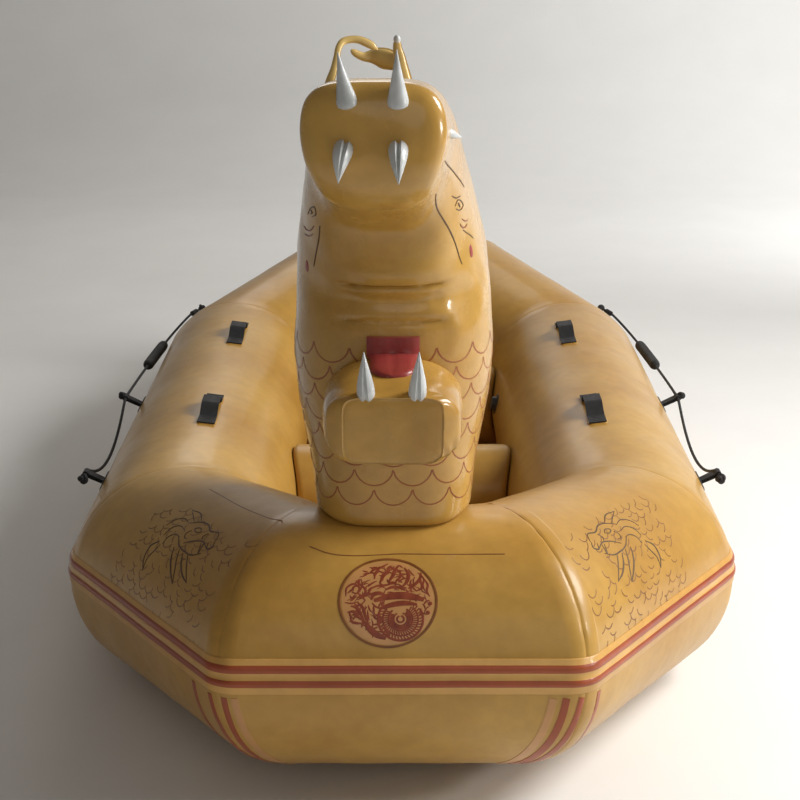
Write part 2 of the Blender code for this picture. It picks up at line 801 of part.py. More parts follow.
def make_valves(hull_cutter):
    sink = 0.0015  # takes up the tube's warp under a flat flange
    for name, tube, edge, share in VALVE_TABLE:
        middle, normal = facet(tube, edge, share)
        cut(make_valve(name, middle - normal * sink, normal), hull_cutter)
    make_valve("valve_floor", Vector((0.200, 0.700, FLOOR_THICKNESS)), Vector((0, 0, 1)))
    make_valve("valve_neck", Vector((DRAGON_X, NECK_BACK_Y, 0.500)), Vector((0, 1, 0)))


clear_scene()
MATERIALS = {row[0]: make_material(*row) for row in MATERIAL_TABLE}
hull_cutter = make_hull_cutter()
make_tubes()
make_strake()
make_floor(hull_cutter)
make_thwarts(hull_cutter)
make_dragon(hull_cutter)
make_carry_handles()
make_anchors(hull_cutter)
make_lifelines()
make_valves(hull_cutter)
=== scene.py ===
import math

import bmesh
import bpy
import numpy as np
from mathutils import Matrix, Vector
from mathutils.bvhtree import BVHTree


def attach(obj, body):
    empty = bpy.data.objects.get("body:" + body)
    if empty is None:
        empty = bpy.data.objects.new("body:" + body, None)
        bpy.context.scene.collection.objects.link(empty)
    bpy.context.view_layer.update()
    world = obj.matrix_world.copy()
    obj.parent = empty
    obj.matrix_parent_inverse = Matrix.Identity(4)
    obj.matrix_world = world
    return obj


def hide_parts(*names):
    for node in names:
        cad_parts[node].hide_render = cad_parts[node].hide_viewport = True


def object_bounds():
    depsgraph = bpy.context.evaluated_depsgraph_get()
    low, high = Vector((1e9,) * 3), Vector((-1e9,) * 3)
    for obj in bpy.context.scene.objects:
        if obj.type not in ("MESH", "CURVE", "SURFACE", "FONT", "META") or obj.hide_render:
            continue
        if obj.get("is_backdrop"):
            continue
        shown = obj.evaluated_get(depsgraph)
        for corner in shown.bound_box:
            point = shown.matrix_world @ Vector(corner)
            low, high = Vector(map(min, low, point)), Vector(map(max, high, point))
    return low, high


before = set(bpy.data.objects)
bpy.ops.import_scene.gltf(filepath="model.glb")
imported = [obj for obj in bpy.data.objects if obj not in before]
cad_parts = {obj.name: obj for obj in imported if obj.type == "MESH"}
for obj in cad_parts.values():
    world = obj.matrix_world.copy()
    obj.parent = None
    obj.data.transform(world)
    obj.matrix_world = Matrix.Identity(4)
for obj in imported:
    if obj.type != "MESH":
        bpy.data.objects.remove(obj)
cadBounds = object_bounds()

print("frame loaded:", len(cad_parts), "nodes")

upward = np.array((0.0, 0.0, 1.0))
boatSides = (("port", 1), ("starboard", -1))


def addObject(name, data):
    made = bpy.data.objects.new(name, data)
    bpy.context.scene.collection.objects.link(made)
    return made


# Camera, as the photograph was taken

camera = {"place": (-0.005, -4.132, 1.81), "pitch": 18.63, "lens": 69.75, "sensor": 36.0, "toHead": 2.9}
pictureSize = 800  # pixels across, for the places that are given by the picture


def addCamera():
    data = bpy.data.cameras.new("camera")
    data.lens = camera["lens"]
    data.sensor_width = camera["sensor"]
    data.sensor_fit = "HORIZONTAL"
    data.clip_end = 100
    holder = addObject("camera", data)
    holder.location = camera["place"]
    holder.rotation_euler = (math.radians(90 - camera["pitch"]), 0, 0)
    bpy.context.scene.camera = holder


def pictureRay(x, y):  # the direction from the camera through a place in the picture
    scale = camera["lens"] / camera["sensor"] * pictureSize
    pitch = math.radians(camera["pitch"])
    right = Vector((1, 0, 0))
    ahead = Vector((0, math.cos(pitch), -math.sin(pitch)))
    down = Vector((0, -math.sin(pitch), -math.cos(pitch)))
    half = pictureSize / 2
    return (ahead + right * ((x - half) / scale) + down * ((y - half) / scale)).normalized()


addCamera()
print("camera placed")


# Helpers for meshes

def unit(vector):
    vector = np.asarray(vector, dtype=float)
    return vector / np.linalg.norm(vector, axis=-1, keepdims=True)


def smoothStep(low, high, value):
    share = np.clip((np.asarray(value, dtype=float) - low) / (high - low), 0, 1)
    return share * share * (3 - 2 * share)


def turnsRound(count):  # evenly spaced turns round a circle, in radians
    return np.linspace(0, 2 * math.pi, count, endpoint=False)


def bell(offset, width):
    return np.exp(-((offset / width) ** 2))


def between(marks, value):  # rises from 0 to 1 over the first two marks and falls over the last two
    return smoothStep(*marks[:2], value) * (1 - smoothStep(*marks[2:], value))


def ripple(points, size, seed, waves=5):  # a smooth wave over space, about -1 to 1
    draw = np.random.default_rng(seed)
    points = np.asarray(points)
    total = np.zeros(points.shape[:-1])
    for _ in range(waves):
        direction = unit(draw.normal(size=3)) * 2 * math.pi / size * draw.uniform(0.7, 1.4)
        total += np.sin(points @ direction + draw.uniform(0, 2 * math.pi))
    return total / 3


def unevenness(points, waves):  # several ripples together, each with its height, size and seed
    return sum(height * ripple(points, size, seed) for height, size, seed in waves)


def splineTable(knots, values, places):  # a smooth curve through the rows of a table
    knots = np.asarray(knots, dtype=float)
    values = np.asarray(values, dtype=float)
    slopes = np.gradient(values, knots, axis=0)
    places = np.clip(places, knots[0], knots[-1])
    index = np.clip(np.searchsorted(knots, places, side="right") - 1, 0, len(knots) - 2)
    step = (knots[index + 1] - knots[index])[:, None]
    share = ((places - knots[index])[:, None]) / step
    start, end = values[index], values[index + 1]
    startSlope, endSlope = slopes[index] * step, slopes[index + 1] * step
    square, cube = share ** 2, share ** 3
    return (
        (2 * cube - 3 * square + 1) * start
        + (cube - 2 * square + share) * startSlope
        + (3 * square - 2 * cube) * end
        + (cube - square) * endSlope
    )


def pathLengths(points):
    steps = np.linalg.norm(np.diff(np.asarray(points, dtype=float), axis=0), axis=1)
    return np.concatenate([[0.0], np.cumsum(steps)])


def smoothPath(points, count):  # evenly spaced points on a curve through the given ones
    points = np.asarray(points, dtype=float)
    lengths = pathLengths(points)
    return splineTable(lengths, points, np.linspace(0, lengths[-1], count))


def gridNormals(grid):
    across = np.roll(grid, -1, axis=1) - np.roll(grid, 1, axis=1)
    along = np.gradient(grid, axis=0)
    return unit(np.cross(across, along) + 1e-12)


def outwardGrid(grid):  # the grid with its columns in the order that makes its faces point outwards
    away = grid - grid.mean(axis=1, keepdims=True)
    return grid[:, ::-1] if (gridNormals(grid) * away).sum() < 0 else grid


def outwardNormals(grid):
    normals = gridNormals(grid)
    away = grid - grid.mean(axis=1, keepdims=True)
    return normals if (normals * away).sum() > 0 else -normals


def gridShell(grid, caps=True):
    # faces and texture places of a grid of points, which closes on itself across its columns
    rows, columns = grid.shape[:2]
    points = grid.reshape(-1, 3)
    across = pathLengths(np.vstack([grid[rows // 2], grid[rows // 2][:1]]))
    along = pathLengths(grid.mean(axis=1))
    if along[-1] < 1e-6:  # all the rows have one middle
        along = pathLengths(grid[:, 0])
    row, column = np.indices((rows - 1, columns)).reshape(2, -1)
    beside = (column + 1) % columns
    start, end = row * columns, (row + 1) * columns
    faces = np.stack([start + column, start + beside, end + beside, end + column], axis=1).tolist()
    first, second = across[column], across[column + 1]
    low, high = along[row], along[row + 1]
    places = np.stack([first, low, second, low, second, high, first, high], axis=1).reshape(-1, 2).tolist()
    for row in (0, rows - 1) if caps else ():
        centre, start = len(points), row * columns
        points = np.vstack([points, grid[row].mean(axis=0)])
        for column in range(columns):
            faces.append((start + column, start + (column + 1) % columns, centre))
            places += [(across[near], along[row]) for near in (column, column + 1, column)]
    return points, faces, places


def joinShells(shells):  # several shells as one mesh
    points, faces, places, start = [], [], [], 0
    for shellPoints, shellFaces, shellPlaces in shells:
        points.append(shellPoints)
        faces += [tuple(index + start for index in face) for face in shellFaces]
        places += shellPlaces
        start += len(shellPoints)
    return np.vstack(points), faces, places


def makeMesh(name, shell):
    points, faces, places = shell
    mesh = bpy.data.meshes.new(name)
    mesh.from_pydata(np.asarray(points).tolist(), [], faces)
    layer = mesh.uv_layers.new(name="UVMap")
    layer.data.foreach_set("uv", np.asarray(places, dtype=np.float32).ravel())
    faceOutwards(mesh)
    return mesh


def faceOutwards(mesh, merge=0.0):  # and merges points closer than this
    worked = bmesh.new()
    worked.from_mesh(mesh)
    if merge:
        bmesh.ops.remove_doubles(worked, verts=worked.verts, dist=merge)
    bmesh.ops.recalc_face_normals(worked, faces=worked.faces)
    worked.to_mesh(mesh)
    worked.free()


def meshValues(mesh, kind):  # the places or the normals of a mesh's points
    values = np.empty(len(mesh.vertices) * 3)
    mesh.vertices.foreach_get(kind, values)
    return values.reshape(-1, 3)


def takeMesh(holder):  # the mesh that an object's modifiers give; the object is removed
    holder.update_tag()
    mesh = bpy.data.meshes.new_from_object(holder.evaluated_get(bpy.context.evaluated_depsgraph_get()))
    bpy.data.objects.remove(holder)
    return mesh


def addPiece(name, mesh, materials, slotName, replaced=(), sharpAngle=50):
    mesh.shade_smooth()
    mesh.set_sharp_from_angle(angle=math.radians(sharpAngle))
    for material in materials if isinstance(materials, (list, tuple)) else [materials]:
        mesh.materials.append(material)
    piece = addObject(name, mesh)
    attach(piece, "root")
    if replaced:
        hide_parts(*replaced)
    return piece


def addShells(name, shells, material, slotName, replaced=(), sharpAngle=50):
    return addPiece(name, makeMesh(name, joinShells(shells)), material, slotName, replaced, sharpAngle)


def pieceName(node):  # side_tube_port becomes sideTubePort
    first, *rest = node.split("_")
    return first + "".join(word.capitalize() for word in rest)


def treeOf(*pieces):  # one search tree over several pieces
    points, faces = [], []
    for piece in pieces:
        start = len(points)
        points += [vertex.co.copy() for vertex in piece.data.vertices]
        faces += [tuple(index + start for index in polygon.vertices) for polygon in piece.data.polygons]
    return BVHTree.FromPolygons(points, faces)


def pathSides(path):  # side and up at each point of a path, without twist
    ahead = unit(np.gradient(path, axis=0))
    first = np.cross(ahead[0], upward)
    if np.linalg.norm(first) < 0.1:  # the path starts almost upright
        first = np.cross(ahead[0], (1.0, 0.0, 0.0))
    sides = [unit(first)]
    for direction in ahead[1:]:
        side = sides[-1] - direction * (sides[-1] @ direction)
        sides.append(unit(side))
    sides = np.array(sides)
    return sides, np.cross(sides, ahead)


def tubeGrid(path, radii, sides):
    path = np.asarray(path, dtype=float)
    side, up = pathSides(path)
    turns = turnsRound(sides)
    ring = np.cos(turns)[None, :, None] * side[:, None] + np.sin(turns)[None, :, None] * up[:, None]
    return path[:, None] + np.asarray(radii)[:, None, None] * ring


def ribbon(path, normals, widths, lift, drop, across, crown=0.0):
    # a closed strip along a path on a surface: lift above the surface, drop below it
    path, normals = np.asarray(path, dtype=float), unit(normals)
    side = unit(np.cross(np.gradient(path, axis=0), normals) + 1e-12)
    widths = np.broadcast_to(widths, len(path))
    shares = np.linspace(-1, 1, across)
    spread = side[:, None] * (widths[:, None] / 2 * shares[None, :])[:, :, None]
    rise = lift + crown * (1 - shares ** 2)
    top = path[:, None] + spread + normals[:, None] * rise[None, :, None]
    bottom = path[:, None] + spread[:, ::-1] - normals[:, None] * drop
    return gridShell(np.concatenate([top, bottom], axis=1))


paint = {"thinnest": 0.0006, "edge": 0.6}  # least width of a stroke, height of its edges as a share


def strokeShell(surface, places, widths, lift=0.0009, drop=0.0005, steps=22):
    # a painted stroke: flat places on a surface, with its width at each of them
    rows = np.column_stack([np.asarray(places, dtype=float), np.broadcast_to(widths, len(places))])
    lengths = pathLengths(rows[:, :2])
    rows = splineTable(lengths, rows, np.linspace(0, lengths[-1], steps))
    ahead = unit(np.gradient(rows[:, :2], axis=0))
    side = np.stack([-ahead[:, 1], ahead[:, 0]], axis=1) * np.maximum(rows[:, 2:], paint["thinnest"]) / 2
    edge = lift * paint["edge"]
    columns = []
    for share, rise in ((1, edge), (0, lift), (-1, edge), (-1, -drop), (1, -drop)):
        flat = rows[:, :2] + side * share
        columns.append(surface(flat[:, 0], flat[:, 1], np.full(steps, rise)))
    return gridShell(np.stack(columns, axis=1))


def discShell(surface, centre, radius, lift=0.0006, drop=0.0004, sides=64):
    turns = turnsRound(sides)
    grid = []
    rings = [(share, lift) for share in (0.08, 0.35, 0.65, 0.9)] + [(1.0, lift * 0.5), (1.0, -drop)]
    for share, rise in rings:
        across = centre[0] + radius * share * np.cos(turns)
        up = centre[1] + radius * share * np.sin(turns)
        grid.append(surface(across, up, np.full(sides, rise)))
    return gridShell(np.array(grid))


def settle(tree, guess, extra):  # puts points on the nearest skin, lifted off it
    placed = np.empty_like(guess)
    for k, point in enumerate(guess):
        hit, normal, _, _ = tree.find_nearest(Vector(point))
        placed[k] = hit + normal * float(extra[k])
    return placed


def pictureHits(tree, places):  # where lines from the camera through places in the picture meet a skin
    eye = Vector(camera["place"])
    points, normals = [], []
    for x, y in places:
        ray = pictureRay(x, y)
        hit, normal, _, _ = tree.ray_cast(eye, ray)
        if hit is None:
            hit, normal, _, _ = tree.find_nearest(eye + ray * camera["toHead"])
        points.append(hit)
        normals.append(normal)
    return np.array(points), np.array(normals)


def roundedOutline(length, width, corner, steps=6):
    places = []
    for quarter, (x, y) in enumerate(((1, 1), (-1, 1), (-1, -1), (1, -1))):
        middle = np.array((x * (length / 2 - corner), y * (width / 2 - corner)))
        for turn in math.pi / 2 * (quarter + np.linspace(0, 1, steps)):
            places.append(middle + corner * np.array((math.cos(turn), math.sin(turn))))
    return np.array(places)


def padShell(surface, outline, thickness, drop=0.0005, rim=0.15, rings=7):
    # a patch with a soft rim over an outline of flat places round its middle
    shares = np.array([*np.linspace(0.12, 1 - rim, rings), 1 - rim / 3, 1.0, 1.0])
    heights = np.array([*np.full(rings, thickness), thickness * 0.8, thickness * 0.3, -drop])
    grid = [
        surface(outline[:, 0] * share, outline[:, 1] * share, np.full(len(outline), height))
        for share, height in zip(shares, heights)
    ]
    return gridShell(np.array(grid))


# Materials

def setInputs(tree, node, inputs):  # links what is a socket and sets what is a value
    for key, value in inputs.items():
        if isinstance(value, bpy.types.NodeSocket):
            tree.links.new(value, node.inputs[key])
        else:
            node.inputs[key].default_value = value


def addNode(tree, kind, inputs=None, **settings):
    made = tree.nodes.new(kind)
    for key, value in settings.items():
        setattr(made, key, value)
    setInputs(tree, made, inputs or {})
    return made


def addMath(tree, operation, *values):
    return addNode(tree, "ShaderNodeMath", dict(enumerate(values)), operation=operation).outputs[0]


def addVector(tree, *values):
    return addNode(tree, "ShaderNodeCombineXYZ", dict(enumerate(values))).outputs[0]


def addGrey(tree, value):
    return addNode(tree, "ShaderNodeCombineColor", {0: value, 1: value, 2: value}).outputs[0]


def addBump(tree, height, strength, depth, **inputs):
    inputs = {"Strength": strength, "Distance": depth, "Height": height, **inputs}
    return addNode(tree, "ShaderNodeBump", inputs).outputs[0]


def addWave(tree, place, scale, direction):
    inputs = {"Vector": place, "Scale": scale}
    wave = addNode(tree, "ShaderNodeTexWave", inputs, wave_type="BANDS", bands_direction=direction)
    return wave.outputs[1]


def addNoise(tree, place, scale, detail=3.0, roughness=0.55):
    inputs = {"Vector": place, "Scale": scale, "Detail": detail, "Roughness": roughness}
    return addNode(tree, "ShaderNodeTexNoise", inputs).outputs[0]


def addRange(tree, value, low, high, newLow, newHigh):
    inputs = {"Value": value, "From Min": low, "From Max": high, "To Min": newLow, "To Max": newHigh}
    return addNode(tree, "ShaderNodeMapRange", inputs).outputs[0]


def addMix(tree, share, first, second, blend="MIX"):
    inputs = {0: share, 6: first, 7: second}
    return addNode(tree, "ShaderNodeMix", inputs, data_type="RGBA", blend_type=blend).outputs[2]


def addTones(tree, share, dark, light):
    return addMix(tree, share, opaque(dark), opaque(light))


cloud = (0.3, 0.7)  # the range in which nearly all of a noise lies


def newMaterial(name):
    material = bpy.data.materials.new(name)
    material.use_nodes = True
    return material, material.node_tree, material.node_tree.nodes["Principled BSDF"]


def opaque(colour):
    return (*colour, 1.0)


pvcLooks = {
    # dark, light, roughness, a browner tone laid in spots towards the bottom, height up to which it lies,
    # coat
    "yellow": ((0.4, 0.205, 0.034), (0.53, 0.31, 0.07), (0.29, 0.43), (0.34, 0.2, 0.08), 0.16, 0.15),
    "dragonYellow": ((0.4, 0.205, 0.034), (0.53, 0.31, 0.07), (0.2, 0.34), (0.34, 0.2, 0.08), 0.16, 0.45),
    "floorYellow": ((0.4, 0.19, 0.03), (0.52, 0.27, 0.05), (0.38, 0.55), (0.32, 0.2, 0.1), 0.13, 0.0),
    # painted light: a lighter copy of the yellow PVC, to make up for shade on the antlers' front faces
    "antlerYellow": ((0.6, 0.4, 0.12), (0.72, 0.52, 0.19), (0.26, 0.4), (0.34, 0.2, 0.08), 0.1, 0.3),
    "stripeYellow": ((0.54, 0.28, 0.065), (0.66, 0.38, 0.11), (0.28, 0.42), (0.34, 0.2, 0.09), 0.1, 0.15),
    "stripeRed": ((0.27, 0.046, 0.015), (0.38, 0.085, 0.026), (0.3, 0.45), (0.26, 0.12, 0.08), 0.1, 0.15),
    "tongueRed": ((0.24, 0.028, 0.027), (0.34, 0.052, 0.045), (0.28, 0.42), (0.26, 0.12, 0.08), 0.1, 0.2),
    "wash": ((0.46, 0.215, 0.07), (0.58, 0.3, 0.11), (0.28, 0.42), (0.34, 0.2, 0.08), 0.1, 0.3),
}
sheet = {
    # scales of the sheet's patterns
    "patches": 2.6,
    "mottle": 31.0,
    "spots": 9.0,
    "gloss": 6.5,
    "dents": 14.0,
    "peel": 240.0,
    "patchRange": (0.32, 0.68),
    "mottleTones": (0.93, 1.05),
    "lowBrownShare": 0.55,
    "dentBump": (0.25, 0.004),  # strength, depth
    "peelBump": (0.1, 0.0005),
    "coatRoughness": 0.1,
    "specular": 0.36,
}


def makePvc(name, look):
    dark, light, roughness, lowBrown, lowBrownTop, coat = look
    material, tree, shader = newMaterial(name)
    place = addNode(tree, "ShaderNodeTexCoord").outputs["Object"]
    patches = addNoise(tree, place, sheet["patches"], 4.0)
    colour = addTones(tree, addRange(tree, patches, *sheet["patchRange"], 0.0, 1.0), dark, light)
    mottle = addNoise(tree, place, sheet["mottle"])
    grain = addGrey(tree, addRange(tree, mottle, *cloud, *sheet["mottleTones"]))
    colour = addMix(tree, 1.0, colour, grain, "MULTIPLY")
    # the colour turns browner in spots towards the bottom, below a given height
    height = addNode(tree, "ShaderNodeSeparateXYZ", {0: place}).outputs[2]
    low = addRange(tree, height, 0.0, lowBrownTop, sheet["lowBrownShare"], 0.0)
    lowBrownSpots = addMath(tree, "MULTIPLY", low, addNoise(tree, place, sheet["spots"], 6.0, 0.7))
    gloss = addNoise(tree, place, sheet["gloss"], 5.0, 0.65)
    dents = addBump(tree, addNoise(tree, place, sheet["dents"], 2.0), *sheet["dentBump"])
    peel = addNoise(tree, place, sheet["peel"], 2.0)
    setInputs(tree, shader, {
        "Base Color": addMix(tree, lowBrownSpots, colour, opaque(lowBrown)),
        "Roughness": addRange(tree, gloss, *cloud, *roughness),
        "Normal": addBump(tree, peel, *sheet["peelBump"], Normal=dents),
        "Coat Weight": coat,
        "Coat Roughness": sheet["coatRoughness"],
        "Specular IOR Level": sheet["specular"],
    })
    return material


wovenLooks = {
    # dark, light, width of a thread
    "webbing": ((0.003, 0.003, 0.004), (0.014, 0.014, 0.016), 0.0011),
    "sleeve": ((0.004, 0.004, 0.005), (0.015, 0.015, 0.016), 0.0008),
}
weaving = {"halfWaves": 6.3, "wear": 60.0, "roughness": (0.62, 0.85), "bump": (0.6, 0.0006), "sheen": 0.06}


def makeWoven(name, look):  # a flat weave that follows the piece's own texture places
    dark, light, thread = look
    material, tree, shader = newMaterial(name)
    place = addNode(tree, "ShaderNodeUVMap", uv_map="UVMap").outputs[0]
    # a wave texture of scale 1 has about so many half waves in a metre, and each is one thread
    scale = 1 / thread / weaving["halfWaves"]
    weave = addMath(tree, "MULTIPLY", *(addWave(tree, place, scale, direction) for direction in "XY"))
    wear = addNoise(tree, place, weaving["wear"], 4.0)
    setInputs(tree, shader, {
        "Base Color": addTones(tree, addMath(tree, "MULTIPLY", weave, wear), dark, light),
        "Roughness": addRange(tree, wear, *cloud, *weaving["roughness"]),
        "Normal": addBump(tree, weave, *weaving["bump"]),
        "Sheen Weight": weaving["sheen"],
    })
    return material


braid = {
    "dark": (0.01, 0.01, 0.012),
    "light": (0.06, 0.06, 0.066),
    "slant": 38,
    "scale": 95.0,
    "fuzz": 300.0,
    "roughness": (0.66, 0.9),
    "bump": (0.7, 0.0008),
}


def makeBraid(name):  # a plaited line: two slanted sets of strands
    material, tree, shader = newMaterial(name)
    place = addNode(tree, "ShaderNodeUVMap", uv_map="UVMap").outputs[0]
    sets = []
    for turn in (math.radians(braid["slant"]), math.radians(-braid["slant"])):
        mapped = addNode(tree, "ShaderNodeMapping", {"Vector": place, "Rotation": (0, 0, turn)})
        sets.append(addWave(tree, mapped.outputs[0], braid["scale"], "X"))
    strands = addMath(tree, "MULTIPLY", *sets)
    setInputs(tree, shader, {
        "Base Color": addTones(tree, strands, braid["dark"], braid["light"]),
        "Roughness": addRange(tree, addNoise(tree, place, braid["fuzz"]), *cloud, *braid["roughness"]),
        "Normal": addBump(tree, strands, *braid["bump"]),
    })
    return material


plasticLooks = {
    # dark, light, roughness, scale of its clouds
    "horn": ((0.46, 0.48, 0.48), (0.66, 0.69, 0.7), (0.22, 0.38), 18),
    "valve": ((0.018, 0.018, 0.019), (0.05, 0.05, 0.052), (0.4, 0.6), 60),
    "ink": ((0.05, 0.024, 0.01), (0.12, 0.06, 0.022), (0.4, 0.55), 40),
    "redInk": ((0.17, 0.027, 0.01), (0.28, 0.056, 0.018), (0.35, 0.5), 60),
    "brownInk": ((0.16, 0.05, 0.01), (0.24, 0.085, 0.018), (0.35, 0.5), 25),
    "scaleInk": ((0.25, 0.062, 0.015), (0.36, 0.118, 0.026), (0.3, 0.45), 14),
    "hookInk": ((0.17, 0.065, 0.02), (0.28, 0.12, 0.032), (0.3, 0.45), 14),
}
pimples = {"scale": 300.0, "bump": (0.15, 0.0005)}  # the fine grain of moulded plastic and dried ink


def makePlastic(name, look):
    dark, light, roughness, scale = look
    material, tree, shader = newMaterial(name)
    place = addNode(tree, "ShaderNodeTexCoord").outputs["Object"]
    clouds = addNoise(tree, place, scale, 4.0)
    setInputs(tree, shader, {
        "Base Color": addTones(tree, addRange(tree, clouds, *cloud, 0.0, 1.0), dark, light),
        "Roughness": addRange(tree, clouds, *cloud, *roughness),
        "Normal": addBump(tree, addNoise(tree, place, pimples["scale"], 2.0), *pimples["bump"]),
    })
    return material


pvc = {key: makePvc(key + "Pvc", look) for key, look in pvcLooks.items()}
woven = {key: makeWoven(key + "Cloth", look) for key, look in wovenLooks.items()}
plastic = {key: makePlastic(key + "Finish", look) for key, look in plasticLooks.items()}
lineBraid = makeBraid("lineBraid")
print("materials made")


# Patterns that repeat: Geometry Nodes trees that lay small shapes out flat

def newTree(name, sockets):
    tree = bpy.data.node_groups.new(name, "GeometryNodeTree")
    for label, kind in sockets.items():
        tree.interface.new_socket(label, in_out="INPUT", socket_type="NodeSocket" + kind)
    tree.interface.new_socket("Mesh", in_out="OUTPUT", socket_type="NodeSocketGeometry")
    entry = tree.nodes.new("NodeGroupInput")
    return tree, entry.outputs


def closeTree(tree, shape, material):
    real = addNode(tree, "GeometryNodeRealizeInstances", {"Geometry": shape})
    finish = addNode(tree, "GeometryNodeSetMaterial", {"Geometry": real.outputs[0], "Material": material})
    addNode(tree, "NodeGroupOutput", {"Mesh": finish.outputs[0]})


def runTree(tree, values):  # the flat pattern that a tree gives for these sizes: points and faces
    holder = addObject("pattern", bpy.data.meshes.new("pattern"))
    modifier = holder.modifiers.new("pattern", "NODES")
    modifier.node_group = tree
    for socket in tree.interface.items_tree:
        if socket.in_out == "INPUT":
            modifier[socket.identifier] = values[socket.name]
    mesh = takeMesh(holder)
    points = meshValues(mesh, "co")
    faces = [tuple(polygon.vertices) for polygon in mesh.polygons]
    bpy.data.meshes.remove(mesh)
    return points, faces


def makeScaleTree(material):  # staggered rows of arcs, each a rounded line
    sockets = {
        "Columns": "Int", "Rows": "Int", "Across": "Float", "Along": "Float", "Radius": "Float",
        "Start": "Float", "Sweep": "Float", "Stretch": "Float", "Line": "Float", "Kept": "Float",
        "Wander": "Float", "Seed": "Int",
    }
    tree, given = newTree("scaleField", sockets)
    twice = addMath(tree, "MULTIPLY", given["Along"], 2.0)
    wide = addMath(tree, "MULTIPLY", addMath(tree, "ADD", given["Columns"], -1.0), given["Across"])
    high = addMath(tree, "MULTIPLY", addMath(tree, "ADD", given["Rows"], -1.0), twice)
    inputs = {"Size X": wide, "Size Y": high, "Vertices X": given["Columns"], "Vertices Y": given["Rows"]}
    net = addNode(tree, "GeometryNodeMeshGrid", inputs).outputs[0]
    both = addNode(tree, "GeometryNodeJoinGeometry")
    for step in (0.0, 0.5):  # the second net lies half a scale aside and a row up
        right = addMath(tree, "MULTIPLY_ADD", given["Across"], step, addMath(tree, "MULTIPLY", wide, 0.5))
        up = addMath(tree, "MULTIPLY_ADD", twice, step, addMath(tree, "MULTIPLY", high, 0.5))
        inputs = {"Geometry": net, "Translation": addVector(tree, right, up)}
        tree.links.new(addNode(tree, "GeometryNodeTransform", inputs).outputs[0], both.inputs[0])
    inputs = {"Radius": given["Radius"], "Start Angle": given["Start"], "Sweep Angle": given["Sweep"]}
    arc = addNode(tree, "GeometryNodeCurveArc", {"Resolution": 11, **inputs})
    inputs = {"Geometry": arc.outputs[0], "Scale": addVector(tree, 1.0, given["Stretch"], 1.0)}
    drawn = addNode(tree, "GeometryNodeTransform", inputs)
    half = addMath(tree, "MULTIPLY", given["Line"], 0.5)
    rim = addNode(tree, "GeometryNodeCurvePrimitiveCircle", {"Resolution": 4, "Radius": half})
    inputs = {"Curve": drawn.outputs[0], "Profile Curve": rim.outputs[0], "Fill Caps": True}
    stroke = addNode(tree, "GeometryNodeCurveToMesh", inputs)
    inputs = {"Probability": given["Kept"], "Seed": given["Seed"]}
    kept = addNode(tree, "FunctionNodeRandomValue", inputs, data_type="BOOLEAN")
    low = addVector(tree, 0.0, 0.0, addMath(tree, "MULTIPLY", given["Wander"], -1.0))
    high = addVector(tree, 0.0, 0.0, given["Wander"])
    inputs = {0: low, 1: high, "Seed": given["Seed"]}
    wander = addNode(tree, "FunctionNodeRandomValue", inputs, data_type="FLOAT_VECTOR")
    inputs = {
        "Points": both.outputs[0], "Instance": stroke.outputs[0],
        "Selection": kept.outputs[3], "Rotation": wander.outputs[0],
    }
    closeTree(tree, addNode(tree, "GeometryNodeInstanceOnPoints", inputs).outputs[0], material)
    return tree


def makeStitchTree(material):  # a row of short threads
    sockets = {"Count": "Int", "Pitch": "Float", "Stitch": "Float", "Thread": "Float"}
    tree, given = newTree("stitchRow", sockets)
    inputs = {"Count": given["Count"], "Offset": addVector(tree, given["Pitch"])}
    row = addNode(tree, "GeometryNodeMeshLine", inputs)
    size = addVector(tree, given["Stitch"], given["Thread"], given["Thread"])
    thread = addNode(tree, "GeometryNodeMeshCube", {"Size": size})
    inputs = {"Points": row.outputs[0], "Instance": thread.outputs[0]}
    closeTree(tree, addNode(tree, "GeometryNodeInstanceOnPoints", inputs).outputs[0], material)
    return tree


scaleTree = makeScaleTree(plastic["scaleInk"])
stitchTree = makeStitchTree(woven["webbing"])
stitching = {"pitch": 0.0042, "stitch": 0.0028, "thread": 0.0008}
stitchRows = {}  # flat rows already made, by their length


def stitchRow(length):
    length = round(float(length), 5)
    if length not in stitchRows:
        count = max(2, int(length / stitching["pitch"]))
        values = {"Count": count, "Pitch": length / count}
        values.update({"Stitch": stitching["stitch"], "Thread": stitching["thread"]})
        stitchRows[length] = runTree(stitchTree, values)
    return stitchRows[length]


def plainPlaces(faces):  # texture places for a piece whose finish doesn't read them
    return [(0.0, 0.0)] * sum(len(face) for face in faces)


def addPattern(name, parts, material, slotName):  # flat patterns wrapped on their skins, as one piece
    shells = [(points, faces, plainPlaces(faces)) for points, faces in parts]
    return addShells(name, shells, material, slotName)


print("pattern trees built")


# Lifelines: a line through three tabs on each side, with a padded grip and a knot at each end

sideTube = {"x": 0.53, "radius": 0.25}
anchors = {
    # place, tube on the port side, share of the way along it
    "table": (("bow", 1, 0.21), ("middle", 1, 0.579), ("stern", 2, 0.22)),
    "turns": (22.5, 30.0),  # edges of the flat face that carries them, above the outward horizontal
    "tab": {
        "width": 0.025, "half": 0.0045, "radius": 0.0085, "thickness": 0.0028,
        "root": 0.0022, "straight": 0.74, "spread": 0.25, "turn": 142,
    },
    "patch": {"length": 0.07, "width": 0.036, "corner": 0.01, "thickness": 0.0028},
    "knot": {"out": 0.012, "size": 0.0078},
}
lifeline = {
    "diameter": 0.008,
    "reach": 0.05,  # from the tube's face to the eyes
    # sag, then the shares along which it keeps its first and its next anchor's direction
    "stretches": ((0.072, 0.3, 0.3), (0.03, 0.67, 0.17)),
    "sagPower": 1.15,
    "throughTab": 0.7,  # straight beyond the eye's middle, in widths of the tab
    "pastAnchor": 0.028,
    "pathStep": 0.024,
    "sides": 12,
}
grip = {
    "start": 0.487, "end": 0.77, "radius": 0.016, "rings": 61, "sides": 24,
    "ridge": 0.0007, "slack": 0.0006, "shoulder": 0.86, "mouth": 0.62,
}
knot = {"radius": 0.0098, "gap": 0.0132, "strand": 0.0046, "long": 1.15, "sides": 10}


